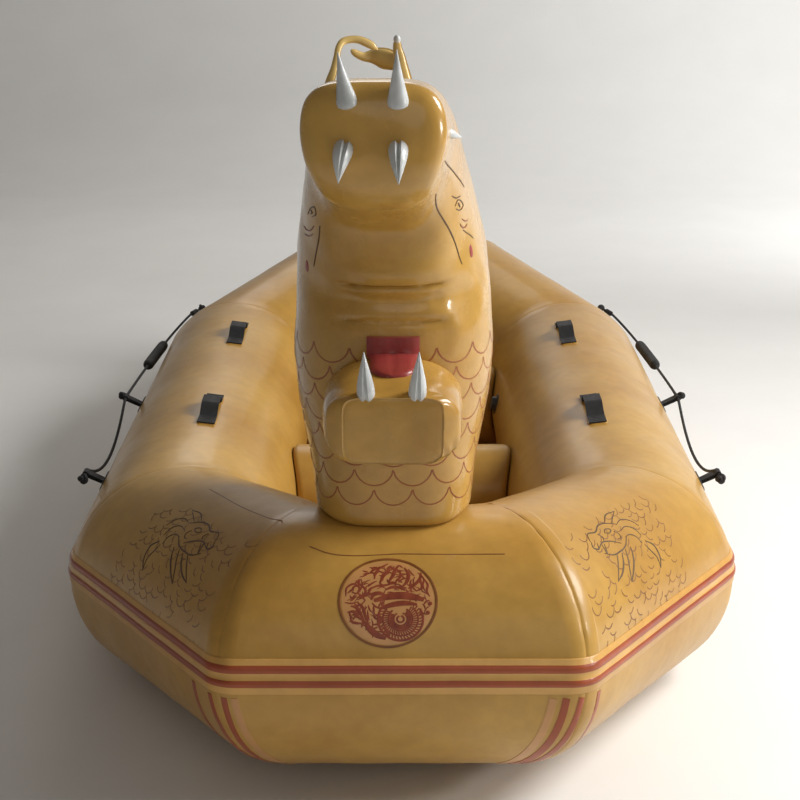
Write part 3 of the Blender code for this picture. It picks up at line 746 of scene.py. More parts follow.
def sidePoint(sign, y, reach, turn):  # turn in degrees above the outward horizontal
    turn = math.radians(turn)
    x = sideTube["x"] + reach * math.cos(turn)
    return np.array((sign * x, y, sideTube["radius"] + reach * math.sin(turn)))


def anchorFrame(tube, share):  # the middle of a port anchor's face, and out, along and up there
    turns, none = np.radians(anchors["turns"]), np.zeros(2)
    start, end = mitreRing(tube, turns, none), mitreRing(tube + 1, turns, none)
    low, high = start + (end - start) * share
    ahead = tubeAxis(tube)
    out = unit(np.cross(ahead, high - low))
    if out[0] < 0:
        out = -out
    along = unit(ahead - out * (ahead @ out))
    return (low + high) / 2, out, along, np.cross(along, out)


def lineRoute():  # the port line's middle, straight through its eyes and sagging between them
    eyes = []
    for _, tube, share in anchors["table"]:
        middle, out, along, _ = anchorFrame(tube, share)
        eyes.append((middle + out * lifeline["reach"], along))
    straight = anchors["tab"]["width"] * lifeline["throughTab"]
    points = [eyes[0][0] - eyes[0][1] * lifeline["pastAnchor"]]
    for (eye, along), (nextEye, nextAlong), stretch in zip(eyes, eyes[1:], lifeline["stretches"]):
        sag, keep, nextKeep = stretch
        start, end = eye + along * straight, nextEye - nextAlong * straight
        points.append(eye - along * straight)
        span = np.linalg.norm(end - start)
        guides = (start, start + along * span * keep, end - nextAlong * span * nextKeep, end)
        for share in np.linspace(0, 1, round(span / lifeline["pathStep"]) + 1):
            rest = 1 - share
            weights = (rest ** 3, 3 * share * rest ** 2, 3 * share ** 2 * rest, share ** 3)
            point = sum(guide * weight for guide, weight in zip(guides, weights))
            points.append(point - upward * sag * (4 * share * rest) ** lifeline["sagPower"])
    points.append(eyes[-1][0] + eyes[-1][1] * straight)
    points.append(eyes[-1][0] + eyes[-1][1] * lifeline["pastAnchor"])
    return np.array(points)


def makeGrip(name, node, line):
    inside = line[(line[:, 1] > grip["start"]) & (line[:, 1] < grip["end"])]
    path = smoothPath(inside, grip["rings"])
    share = np.abs(np.linspace(-1, 1, grip["rings"]))
    shoulder, mouth = grip["shoulder"], grip["mouth"]
    drop = np.clip((share - shoulder) / (1 - shoulder), 0, 1)
    outer = grip["radius"] * (mouth + (1 - mouth) * np.sqrt(1 - drop ** 2))
    ridges = np.sin(np.arange(grip["rings"]) * math.pi / 2) * (share < shoulder - 0.01)
    outer = outer + grip["ridge"] * ridges
    bore = np.full(grip["rings"], lifeline["diameter"] / 2 + grip["slack"])
    walls = [tubeGrid(path, outer, grip["sides"]), tubeGrid(path, bore, grip["sides"])[::-1]]
    mesh = makeMesh(name, gridShell(np.concatenate([*walls, walls[0][:1]]), caps=False))
    faceOutwards(mesh, merge=1e-6)
    return addPiece(name, mesh, woven["sleeve"], "webbing", [node])


def knotShells(centre, ahead, size):  # an overhand knot drawn tight round a line
    side = unit(np.cross(ahead, upward))
    up = np.cross(side, ahead)
    turns = turnsRound(72)
    away = 2 + np.cos(3 * turns)
    rise = np.sin(3 * turns) * knot["long"]
    loop = np.stack([away * np.cos(2 * turns), rise, away * np.sin(2 * turns)], axis=1)
    path = centre + (loop / 3 * size) @ np.array((side, ahead, up))
    path = np.vstack([path, path[:1]])
    strand = tubeGrid(path, np.full(len(path), knot["strand"]), knot["sides"])
    swell = np.array((0.6, 0.95, 1.1, 0.95, 0.6))  # of the line inside the knot
    middle = centre + np.outer(np.linspace(-1, 1, len(swell)) * size, ahead)
    return [gridShell(strand), gridShell(tubeGrid(middle, knot["strand"] * swell, knot["sides"]))]


def makeLifelines():
    route = lineRoute()
    for side, sign in boatSides:
        path = route * (sign, 1, 1)
        grid = tubeGrid(path, np.full(len(path), lifeline["diameter"] / 2), lifeline["sides"])
        node = "lifeline_" + side
        line = addShells(pieceName(node), [gridShell(grid)], lineBraid, "line", [node])
        onLine = [makeGrip("lineGrip" + side.capitalize(), "lifeline_grip_" + side, path)]
        for place, end, before in (("bow", path[0], path[1]), ("stern", path[-1], path[-2])):
            ahead = unit(end - before)
            node = f"line_knot_{side}_{place}"
            shells = knotShells(end + ahead * knot["gap"], ahead, knot["radius"])
            onLine.append(addShells(pieceName(node), shells, lineBraid, "line", [node]))
        tuple(path[0])
        float(pathLengths(path)[-1])
        [tuple(point) for point in path]


# Hull: a ring of eight mitred tubes

hull = {
    # corners round the ring from the port bow: x, y, z, radius
    "corners": (
        (0.215, -1.237, 0.325, 0.265), (0.53, -0.758, 0.25, 0.25), (0.53, 0.757, 0.25, 0.25),
        (0.225, 1.237, 0.335, 0.262), (-0.225, 1.237, 0.335, 0.262), (-0.53, 0.757, 0.25, 0.25),
        (-0.53, -0.758, 0.25, 0.25), (-0.215, -1.237, 0.325, 0.265),
    ),
    "columns": 96,
    "cornerRound": 0.042,
    "grooveDepth": 0.0022,
    "grooveWidth": 0.0036,
    "tapeWidth": 0.04,
    "tapeRise": 0.001,
    "waves": ((0.001, 0.55, 11), (0.0005, 0.13, 12)),  # height, size and seed of its unevenness
    "puckers": {"many": 31, "few": 17, "outer": 0.0004, "inner": 0.0016, "reach": 0.032},
    "seamDetail": (0.7, 0.35, 0.35, 1.0, 1.0, 0.35, 0.35, 0.3),  # by corner
    "rowStep": 0.022,
    "capDish": 0.02,  # how far the middles of a tube's two ends lie inside it
}
tubeNodes = (
    "bow_quarter_tube_port", "side_tube_port", "stern_quarter_tube_port", "stern_tube",
    "stern_quarter_tube_starboard", "side_tube_starboard", "bow_quarter_tube_starboard", "bow_tube",
)
hullCorners = np.array(hull["corners"])
mitreSteps = np.array(  # distances of the first rows from a mitre
    (0, 0.0013, 0.0026, 0.0042, 0.0065, 0.01, 0.015, 0.021, 0.028, 0.035, 0.0392, 0.0402, 0.043)
)


def hullCorner(i):
    return hullCorners[i % 8, :3]


def tubeAxis(i):
    return unit(hullCorner(i + 1) - hullCorner(i))


def mitreRing(i, turns, extra):
    before, after = tubeAxis(i - 1), tubeAxis(i)
    level = after if i % 2 else before
    normal = unit(before + after)
    outward = unit(np.cross(level, upward))
    spoke = np.cos(turns)[:, None] * outward + np.sin(turns)[:, None] * upward
    spoke = spoke * (hullCorners[i % 8, 3] + extra)[:, None]
    return hullCorner(i) + spoke - level * ((spoke @ normal) / (level @ normal))[:, None]


def tubeLength(tube, turn):
    turns, none = np.array([turn]), np.zeros(1)
    return float(np.linalg.norm(mitreRing(tube + 1, turns, none) - mitreRing(tube, turns, none)))


def hullSkin(tube, turns, reach, extra=0.0, detail=1.0):
    # turns in radians above the outward horizontal, reach from the tube's first mitre
    turns, reach, extra = (np.array(a, dtype=float) for a in np.broadcast_arrays(turns, reach, extra))
    start, end = mitreRing(tube, turns, extra), mitreRing(tube + 1, turns, extra)
    length = np.linalg.norm(end - start, axis=1)
    points = start + (end - start) * (reach / length)[:, None]
    axis, origin = tubeAxis(tube), hullCorner(tube)
    offset = points - origin
    normal = unit(offset - (offset @ axis)[:, None] * axis)
    relief = unevenness(points, hull["waves"])
    pucker = hull["puckers"]
    inner = (1 - np.cos(turns)) / 2
    shift = np.zeros_like(points)
    for cornerIndex, distance in ((tube, reach), (tube + 1, length - reach)):
        before, after = tubeAxis(cornerIndex - 1), tubeAxis(cornerIndex)
        bend = unit(before - after)
        halfTangent = math.tan(math.acos(before @ after) / 2)
        near = np.clip(1 - distance / hull["cornerRound"], 0, 1)
        shift -= bend * (hull["cornerRound"] * halfTangent / 2 * near ** 2)[:, None]
        wave = np.sin(turns * pucker["many"] + cornerIndex)
        wave += 0.6 * np.sin(turns * pucker["few"] + 2 * cornerIndex)
        fade = np.exp(-np.abs(distance) / pucker["reach"])
        seam = detail * hull["seamDetail"][cornerIndex % 8]
        relief += seam * (pucker["outer"] + pucker["inner"] * inner ** 2) * fade * wave
        relief -= seam * hull["grooveDepth"] * bell(distance, hull["grooveWidth"])
        if tube % 2 == 0 and hull["seamDetail"][cornerIndex % 8] > 0.5:
            edge = hull["tapeWidth"]
            relief += seam * hull["tapeRise"] * (1 - smoothStep(edge - 0.0008, edge, distance))
    return points + shift + normal * relief[:, None]


def mitreShift(tube, turns):  # how far along the tube's axis its first mitre lies, at these turns
    turns = np.atleast_1d(turns)
    return (mitreRing(tube, turns, np.zeros(len(turns))) - hullCorner(tube)) @ tubeAxis(tube)


def tubeSurface(tube, along, turn, square=True):
    # a place on a tube: first along it, second round it, in metres from the given place;
    # a square surface keeps to the tube's axis, another one to its slanted mitre
    radius = hullCorners[tube, 3]
    middle = math.radians(turn)

    def surface(first, second, extra):
        turns = middle + second / radius
        shift = mitreShift(tube, turns) - mitreShift(tube, middle) if square else 0.0
        return hullSkin(tube, turns, along + first - shift, extra)

    return surface


def tubeRows(tube, turn):  # distances along a tube, close together near its mitres
    length = tubeLength(tube, turn)
    middle = max(3, round(tubeLength(tube, math.pi / 2) / hull["rowStep"]))
    inner = np.linspace(mitreSteps[-1], length - mitreSteps[-1], middle + 1)[1:-1]
    return np.concatenate([mitreSteps, inner, length - mitreSteps[::-1]])


def makeHull():
    turns = turnsRound(hull["columns"])
    pieces = []
    for tube, node in enumerate(tubeNodes):
        columns = [hullSkin(tube, turn, tubeRows(tube, turn)) for turn in turns]
        points, faces, places = gridShell(np.stack(columns, axis=1))
        dish = tubeAxis(tube) * hull["capDish"]
        points[-2] += dish
        points[-1] -= dish
        shells = [(points, faces, places)]
        pieces.append(addShells(pieceName(node) + "Skin", shells, pvc["yellow"], "yellow_pvc", [node]))
    return pieces


hullTree = treeOf(*makeHull())
print("hull made")

makeLifelines()
print("lifelines made")


# Rub strake: a ribbed strip round the ring with two red bands

strake = {
    # degrees above the outward horizontal, rise off the skin, red up to the next row
    "profile": (
        (0.7, -0.0012, False), (0.9, 0.0016, False), (1.3, 0.0026, False), (3.9, 0.0028, False),
        (4.1, 0.0036, True), (4.8, 0.0056, True), (5.65, 0.0062, True), (6.5, 0.0056, True),
        (7.2, 0.0036, False), (7.5, 0.0027, False), (8.7, 0.003, False), (9.9, 0.0027, False),
        (10.2, 0.0036, True), (11.0, 0.0056, True), (11.95, 0.0062, True), (12.9, 0.0056, True),
        (13.7, 0.0036, False), (14.0, 0.0027, False), (15.9, 0.0024, False), (16.3, 0.0014, False),
        (16.5, -0.0012, False),
    ),
    "rowStep": 0.03,
    "mitreSteps": (0, 0.004, 0.01, 0.017, 0.025, 0.034, 0.043),  # distances of the first rows from a mitre
    "middleTurn": 0.15,  # radians
}


def makeStrake():
    rows = []
    steps = np.array(strake["mitreSteps"])
    for tube in range(8):
        middle = round(tubeLength(tube, strake["middleTurn"]) / strake["rowStep"])
        columns = []
        for turn, rise, _ in strake["profile"]:
            turn = math.radians(turn)
            length = tubeLength(tube, turn)
            inner = np.linspace(steps[-1], length - steps[-1], middle + 1)[1:-1]
            reach = np.concatenate([steps, inner, (length - steps[::-1])[:-1]])
            columns.append(hullSkin(tube, turn, reach, rise, 0.0))
        rows.append(np.stack(columns, axis=1))
    mesh = makeMesh("rubStrakeRibbed", gridShell(np.concatenate([*rows, rows[0][:1]]), caps=False))
    columns = len(strake["profile"])
    for index, polygon in enumerate(mesh.polygons):
        polygon.material_index = int(strake["profile"][index % columns][2])
    faceOutwards(mesh, merge=1e-6)
    bands = [pvc["stripeYellow"], pvc["stripeRed"]]
    addPiece("rubStrakeRibbed", mesh, bands, "stripe_pvc", ["rub_strake"])


makeStrake()
print("rub strake made")


# Dragon: neck and head in one skin, from the tables of its sections

dragon = {
    "x": -0.018,
    "yaw": 2.6,
    "turnHeight": 0.25,
    "neckTop": 1.02,
    "neckBack": -0.885,
    "columns": 128,
    "power": 2.6,
    # height, half width, front, back
    "neck": (
        (0.4, 0.158, -1.29, -0.885),
        (0.6, 0.16, -1.3, -0.885),
        (0.7, 0.172, -1.308, -0.878),
        (0.8, 0.19, -1.318, -0.868),
        (0.91, 0.2, -1.328, -0.862),
    ),
    # top's y and z, front's or underside's y and z, half width
    "head": (
        (-0.862, 1.0203, -1.33, 1.0203, 0.195),
        (-0.871, 1.1716, -1.325, 1.0584, 0.188),
        (-0.93, 1.285, -1.34, 1.0806, 0.174),
        (-1.0335, 1.375, -1.3465, 1.104, 0.158),
        (-1.164, 1.432, -1.36, 1.1481, 0.145),
        (-1.308, 1.462, -1.392, 1.202, 0.132),
        (-1.428, 1.482, -1.452, 1.24, 0.126),
        (-1.518, 1.494, -1.522, 1.264, 0.1235),
        (-1.568, 1.495, -1.568, 1.274, 0.1225),
    ),
    # where along the top's y it starts and is full, what it is there, and where it starts and is
    # full between a section's middle at 0 and its underside at 1
    "snout": {
        "from": -1.05, "full": -1.42, "narrow": 0.2, "lean": 0.045, "power": 3.7,
        "narrowRange": (-0.3, 1.0), "leanRange": (0.15, 1.1),
    },
    "cap": {"depth": 0.034, "power": 0.45, "turns": (14, 28, 42, 55, 66, 76, 84)},
    "rowStep": 0.0115,
    "footPower": 3.6,
    "footHeights": (0.55, 0.8),
    "footSteps": (0.0, 0.0008, 0.003, 0.0065, 0.011, 0.0155, 0.02, 0.028),
    "footRows": 24,
    "footTop": 0.76,
    "footRound": 0.02,
}


def headPoints(points):  # turns points of the straight head to starboard about the neck
    points = np.array(points, dtype=float)
    yaw = math.radians(dragon["yaw"])
    y = points[..., 1] - dragon["neckBack"]
    turnedX = points[..., 0] * math.cos(yaw) + y * math.sin(yaw)
    turnedY = -points[..., 0] * math.sin(yaw) + y * math.cos(yaw)
    share = smoothStep(dragon["neckTop"], dragon["neckTop"] + dragon["turnHeight"], points[..., 2])
    moved = points.copy()
    moved[..., 0] += dragon["x"] + share * (turnedX - points[..., 0])
    moved[..., 1] += share * (turnedY - y)
    return moved


def roundSection(centre, lean, halfWidth, halfDepth, power, columns):
    turns = turnsRound(columns)
    cosines, sines = np.cos(turns), np.sin(turns)
    size = (np.abs(cosines) ** power + np.abs(sines) ** power) ** (-1 / power)
    down = np.array((0.0, -math.cos(lean), -math.sin(lean)))
    across = np.array((1.0, 0.0, 0.0))
    return centre + np.outer(halfWidth * size * cosines, across) + np.outer(halfDepth * size * sines, down)


def neckRows():  # the neck's table in the order of the head's
    return [(back, z, front, z, halfWidth) for z, halfWidth, front, back in dragon["neck"]]


def dragonGrid():
    rows = np.array(neckRows() + list(dragon["head"]))
    knots = pathLengths((rows[:, :2] + rows[:, 2:4]) / 2)
    count = round(knots[-1] / dragon["rowStep"])
    table = splineTable(knots, rows, np.linspace(0, knots[-1], count))
    grid = [headSection(row, 1.0, 0.0) for row in table]
    cap = dragon["cap"]
    for turn in np.radians(cap["turns"]):  # the snout's rounded front
        grid.append(headSection(table[-1], math.cos(turn) ** cap["power"], cap["depth"] * math.sin(turn)))
    return np.array(grid)


def headSection(row, shrink, ahead):
    topY, topZ, frontY, frontZ, halfWidth = row
    centre = np.array((0, (topY + frontY) / 2 - ahead, (topZ + frontZ) / 2))
    lean = math.atan2(topZ - frontZ, topY - frontY)
    halfDepth = math.hypot(topY - frontY, topZ - frontZ) / 2
    square = 1 - float(smoothStep(*dragon["footHeights"], (topZ + frontZ) / 2))
    power = dragon["power"] + (dragon["footPower"] - dragon["power"]) * square
    snout = dragon["snout"]
    share = float(smoothStep(-snout["from"], -snout["full"], -topY))
    power += (snout["power"] - dragon["power"]) * share
    size = (halfWidth * shrink, halfDepth * shrink)
    ring = roundSection(centre, lean, *size, power, dragon["columns"])
    down = (ring - centre) @ np.array((0.0, -math.cos(lean), -math.sin(lean))) / halfDepth
    ring[:, 0] *= 1 - snout["narrow"] * share * smoothStep(*snout["narrowRange"], down)
    ring[:, 1] += snout["lean"] * share * smoothStep(*snout["leanRange"], down)
    return ring


def plantColumns(grid, tree, blendRow, footSteps, middleCount):
    # cuts each column where it leaves the hull, and spreads its rows from there to the blend row
    lower, upper = grid[:blendRow + 1], grid[blendRow + 1:]
    planted = np.zeros((len(footSteps) + middleCount, grid.shape[1], 3))
    for j in range(grid.shape[1]):
        line = lower[:, j]
        lengths = pathLengths(line)
        start = 0.0
        for k in range(blendRow, 0, -1):
            step = Vector(line[k - 1] - line[k])
            hit, _, _, distance = tree.ray_cast(Vector(line[k]), step.normalized(), step.length)
            if hit is not None:
                start = lengths[k] - distance
                break
        spread = np.linspace(start + footSteps[-1], lengths[-1], middleCount + 1)[1:]
        marks = np.concatenate([start + footSteps, spread])
        planted[:, j] = np.stack([np.interp(marks, lengths, line[:, axis]) for axis in range(3)], axis=1)
    return np.concatenate([planted, upper])


def tuckFoot(grid, footSteps, radius):  # turns the skin's lowest edge in, as on a full cushion
    normals = gridNormals(grid)
    for k, distance in enumerate(footSteps):
        gap = max(radius - distance, 0.0)
        grid[k] -= normals[k] * (radius - math.sqrt(radius ** 2 - gap ** 2))
    return grid


creases = {
    "front": (0.35, 0.75),  # how far the skin faces forwards, from no crease to a whole one
    "ends": (0.08, 0.118),  # from the middle, where they fade away
    "rows": ((1.0905, 0.01, 0.0036), (1.018, 0.009, 0.0034)),  # height, depth, width
    "arch": {"halfWidth": 0.1, "rise": -0.003},
    "swell": {"above": 0.026, "height": 0.0035, "width": 0.018},
    "panel": {"edge": 0.083, "depth": 0.0018, "width": 0.004, "heights": (1.015, 1.03, 1.085, 1.1)},
    # upright folds at the neck's port corner
    "folds": {"x": 0.135, "width": 0.034, "height": 0.003, "heights": (0.93, 0.98, 1.08, 1.14)},
    "foldTurns": (190, 2.0, 40),
    "waves": ((0.0012, 0.3, 21), (0.0006, 0.09, 22)),
}


def carveHead(grid):
    normals = outwardNormals(grid)
    x = grid[..., 0] - dragon["x"]
    z = grid[..., 2]
    arch, swell, panel, folds = (creases[key] for key in ("arch", "swell", "panel", "folds"))
    front = smoothStep(*creases["front"], -normals[..., 1]) * (1 - smoothStep(*creases["ends"], np.abs(x)))
    relief = unevenness(grid, creases["waves"])
    for height, depth, width in creases["rows"]:
        above = z - height - arch["rise"] * (1 - (x / arch["halfWidth"]) ** 2)
        relief -= front * depth * bell(above, width)
        relief += front * swell["height"] * bell(above - swell["above"], swell["width"])
    seam = between(panel["heights"], z) * (normals[..., 1] < 0)
    for edge in (-panel["edge"], panel["edge"]):
        relief -= seam * panel["depth"] * bell(x - edge, panel["width"])
    corner = bell(x - folds["x"], folds["width"]) * (normals[..., 1] < 0.2)
    turns, bend, bendTurns = creases["foldTurns"]
    wave = np.sin((grid[..., 1] - x) * turns + bend * np.sin(z * bendTurns))
    relief += between(folds["heights"], z) * corner * folds["height"] * wave
    return grid + normals * relief[..., None]


def makeDragonSkin():
    footSteps = np.array(dragon["footSteps"])
    grid = dragonGrid()
    footTop = int(np.argmin(np.abs(grid[:, :, 2].mean(axis=1) - dragon["footTop"])))
    grid = plantColumns(headPoints(grid), hullTree, footTop, footSteps, dragon["footRows"])
    grid = carveHead(tuckFoot(outwardGrid(grid), footSteps, dragon["footRound"]))
    nodes = ["dragon_neck", "dragon_head"]
    return addShells("dragonSkin", [gridShell(grid)], pvc["dragonYellow"], "yellow_pvc", nodes, sharpAngle=60)


dragonTree = treeOf(makeDragonSkin())
print("dragon's neck and head made")


# Lower jaw: a pillow that stands out from the neck under the mouth

jaw = {
    # y, middle's height, half width, half height
    "table": (
        (-1.29, 0.864, 0.132, 0.092),
        (-1.4, 0.864, 0.13, 0.08),
        (-1.45, 0.863, 0.127, 0.0735),
        (-1.474, 0.862, 0.123, 0.069),
    ),
    "powers": (2.2, 3.3, 6.5),  # at the back, before the front panel and on it
    "cap": {
        "depth": 0.024, "width": 0.031, "height": 0.005,
        "shares": (0.12, 0.26, 0.42, 0.58, 0.74, 0.88, 0.96, 1.0),
    },
    # groove of the weld round the front panel: inset, share of the depth
    "weld": {"depth": 0.0012, "rows": ((0.001, 0.6), (0.0024, 1.0), (0.004, 0.7), (0.006, 0.2))},
    "panel": {"crown": 0.0025, "shares": (0.86, 0.6, 0.35, 0.14)},
    "back": {"gap": 0.0004, "fade": 0.15, "tuck": (0.01, 0.0035, 0.0008)},
    "pucker": {"x": 0.11, "z": 0.803, "size": 0.03, "depth": 0.0065, "folds": 9},
    "waves": ((0.001, 0.16, 31), (0.0005, 0.05, 32)),
    "columns": 96,
    "rows": 26,
}
mouthFront = -1.46  # a place before the neck from which its front is searched


def neckFront(x, z):  # the y of the neck's skin, seen from the front
    hit = dragonTree.ray_cast(Vector((x, mouthFront, z)), Vector((0, 1, 0)))[0]
    return None if hit is None else hit.y


def jawGrid():
    def section(y, z, halfWidth, halfHeight, power):
        centre = np.array((dragon["x"], y, z))
        return roundSection(centre, math.pi / 2, halfWidth, halfHeight, power, jaw["columns"])

    table = np.array(jaw["table"])
    rows = splineTable(-table[:, 0], table, np.linspace(-table[0, 0], -table[-1, 0], jaw["rows"]))
    backPower, frontPower, panelPower = jaw["powers"]
    grid = []
    for share, row in zip(np.linspace(0, 1, len(rows)), rows):
        grid.append(section(*row, backPower + (frontPower - backPower) * share ** 2))
    y, z, halfWidth, halfHeight = rows[-1]
    cap, weld, panel = jaw["cap"], jaw["weld"], jaw["panel"]
    for share in cap["shares"]:
        shrink = share ** 1.2
        size = (halfWidth - cap["width"] * shrink, halfHeight - cap["height"] * shrink)
        power = frontPower + (panelPower - frontPower) * share
        grid.append(section(y - cap["depth"] * share ** 0.9, z, *size, power))
    face = y - cap["depth"]
    width, height = halfWidth - cap["width"], halfHeight - cap["height"]
    for inset, share in weld["rows"]:
        grid.append(section(face + weld["depth"] * share, z, width - inset, height - inset, panelPower))
    for share in panel["shares"]:  # the flat front, a little full
        size = (width * share, height * share)
        grid.append(section(face - panel["crown"] * (1 - share), z, *size, panelPower))
    return np.array(grid)


def makeJaw():
    grid = jawGrid()
    back = grid[0].copy()
    for place in back:
        y = neckFront(place[0], place[2])
        if y is not None:
            place[1] = y - jaw["back"]["gap"]
    shift = back[:, 1] - grid[0, :, 1]
    fade = np.clip(1 - (grid[0, 0, 1] - grid[:, :, 1]) / jaw["back"]["fade"], 0, 1)
    grid[:, :, 1] += fade * shift[None, :]
    centre = np.array((dragon["x"], 0, jaw["table"][0][1]))
    for k, tuck in enumerate(jaw["back"]["tuck"]):
        inward = centre - grid[k]
        inward[:, 1] = 0
        grid[k] += unit(inward) * tuck
    normals = outwardNormals(grid)
    relief = unevenness(grid, jaw["waves"])
    pucker = jaw["pucker"]  # the seam draws in at the lower port corner
    right, up = grid[..., 0] - dragon["x"] - pucker["x"], grid[..., 2] - pucker["z"]
    folds = 0.7 + 0.5 * np.sin(np.arctan2(up, right) * pucker["folds"])
    relief -= bell(np.hypot(right, up), pucker["size"]) * pucker["depth"] * folds
    shells = [gridShell(grid + normals * relief[..., None])]
    finish = pvc["dragonYellow"]
    return addShells("lowerJawPillow", shells, finish, "yellow_pvc", ["lower_jaw"], sharpAngle=60)


jawTree = treeOf(makeJaw())
print("lower jaw made")


# Tongue: a thin pad on the jaw that turns up the back of the mouth

tongue = {
    "halfWidth": 0.05,
    "flatWidth": 0.86,  # of its part on the jaw, as a share
    "tip": -1.428,
    "tipLength": 0.04,
    "top": 0.9915,
    "foot": 0.972,
    "bend": 0.008,
    "lift": 0.0045,
    "crown": 0.004,
    "groove": {"depth": 0.0016, "width": 0.1},
    "rim": 0.45,  # thickness of its side edges, as a share
    "drop": 0.0005,
}


def jawTop(x, y):
    return jawTree.ray_cast(Vector((x, y, 1.05)), Vector((0, 0, -1)))[0].z


def tongueRows():  # the middle's y and z, the direction of its upper face there, and the width as a share
    middle, bend, tip = dragon["x"], tongue["bend"], tongue["tip"]
    wall = neckFront(middle, 0.975)
    rows = [((wall, z), (-1.0, 0.0), 1.0) for z in np.linspace(tongue["top"], tongue["foot"], 5)]
    corner = (wall - bend, jawTop(middle, wall - 0.02) + bend)
    for turn in np.radians((20, 45, 70)):
        place = (corner[0] + bend * math.cos(turn), corner[1] - bend * math.sin(turn))
        rows.append((place, (-math.cos(turn), math.sin(turn)), 1.0))
    for y in np.linspace(wall - bend, tip, 22):
        share = np.clip((tip + tongue["tipLength"] - y) / tongue["tipLength"], 0, 1)
        rows.append(((y, jawTop(middle, y)), (0.0, 1.0), math.sqrt(max(1 - share ** 2, 0.0025))))
    return rows


def makeTongue():
    rows = tongueRows()
    wall = rows[0][0][0]
    shares = np.linspace(-1, 1, 13)
    edge = np.where(np.abs(shares) > 0.99, tongue["rim"], 1.0)
    groove = tongue["groove"]["depth"] * bell(shares, tongue["groove"]["width"])
    grid = []
    for (y, z), (ny, nz), width in rows:
        normal = np.array((0.0, ny, nz))
        flatPart = 1 - (1 - tongue["flatWidth"]) * float(smoothStep(-wall, -wall + 0.03, -y))
        x = dragon["x"] + shares * tongue["halfWidth"] * flatPart * width
        base = np.stack([x, np.full_like(x, y), np.full_like(x, z)], axis=1)
        rise = tongue["lift"] + tongue["crown"] * (1 - np.abs(shares) ** 3) * width - groove * width
        top = base + normal * (rise * edge)[:, None]
        grid.append(np.concatenate([top, base[::-1] - normal * tongue["drop"]]))
    addShells("tonguePad", [gridShell(np.array(grid))], pvc["tongueRed"], "red_pvc", ["tongue"])


makeTongue()
print("tongue made")


# Spikes and fangs: faceted cones with a bow

spikes = {
    # base radius, bow of the middle on the port side, crease down the front, row of the taper
    "kinds": {
        "nose_spike": (0.0185, (0, -0.003, 0), 0.0, 1),
        "upper_fang": (0.0168, (0, -0.016, 0.006), 0.4, 2),
        "cheek_spike": (0.0115, (0.004, -0.004, 0), 0.0, 1),
        "lower_fang": (0.0168, (0, -0.01, -0.004), 0.3, 2),
    },
    # kind, side, base, tip
    "table": (
        ("nose_spike", "port", (0.042, -1.59, 1.456), (0.04, -1.598, 1.549)),
        ("nose_spike", "starboard", (-0.04, -1.59, 1.456), (-0.055, -1.598, 1.544)),
        ("upper_fang", "port", (0.0425, -1.588, 1.392), (0.045, -1.636, 1.338)),
        ("upper_fang", "starboard", (-0.0465, -1.588, 1.392), (-0.0535, -1.636, 1.339)),
        ("cheek_spike", "port", (0.112, -1.43, 1.392), (0.145, -1.4, 1.377)),
        ("cheek_spike", "starboard", (-0.112, -1.425, 1.392), (-0.14, -1.37, 1.375)),
        ("lower_fang", "port", (0.044, -1.482, 0.924), (0.047, -1.512, 1.016)),
        ("lower_fang", "starboard", (-0.048, -1.482, 0.924), (-0.051, -1.512, 1.016)),
    ),
    # share of the length, then the radius of a straight cone and of a full fang
    "taper": (
        (0.0, 0.7, 0.78), (0.04, 0.95, 0.95), (0.1, 1.0, 1.0), (0.3, 0.76, 0.94),
        (0.5, 0.54, 0.76), (0.75, 0.28, 0.43), (0.92, 0.11, 0.16), (1.0, 0.04, 0.04),
    ),
    "rings": 26,
    "sides": 20,
}


def makeSpikes():
    shares = np.linspace(0, 1, spikes["rings"])
    taper = np.array(spikes["taper"])
    for kind, side, base, tip in spikes["table"]:
        radius, bow, crease, shape = spikes["kinds"][kind]
        base, tip = np.array(base), np.array(tip)
        bow = np.array(bow) * (math.copysign(1, base[0]), 1, 1)
        path = base + np.outer(shares, tip - base) + np.outer(4 * shares * (1 - shares), bow)
        path = path + (dragon["x"], 0, 0) if kind == "lower_fang" else headPoints(path)
        radii = radius * np.interp(shares, taper[:, 0], taper[:, shape])
        grid = tubeGrid(path, radii, spikes["sides"])
        front = int(np.argmin(grid[len(grid) // 2, :, 1]))
        grid[:, front] += (path - grid[:, front]) * crease
        node = f"{kind}_{side}"
        addShells(pieceName(node), [gridShell(grid)], plastic["horn"], "spike_plastic", [node], sharpAngle=24)


makeSpikes()
print("spikes and fangs made")


# Antlers: flat inflated leaves on top of the head

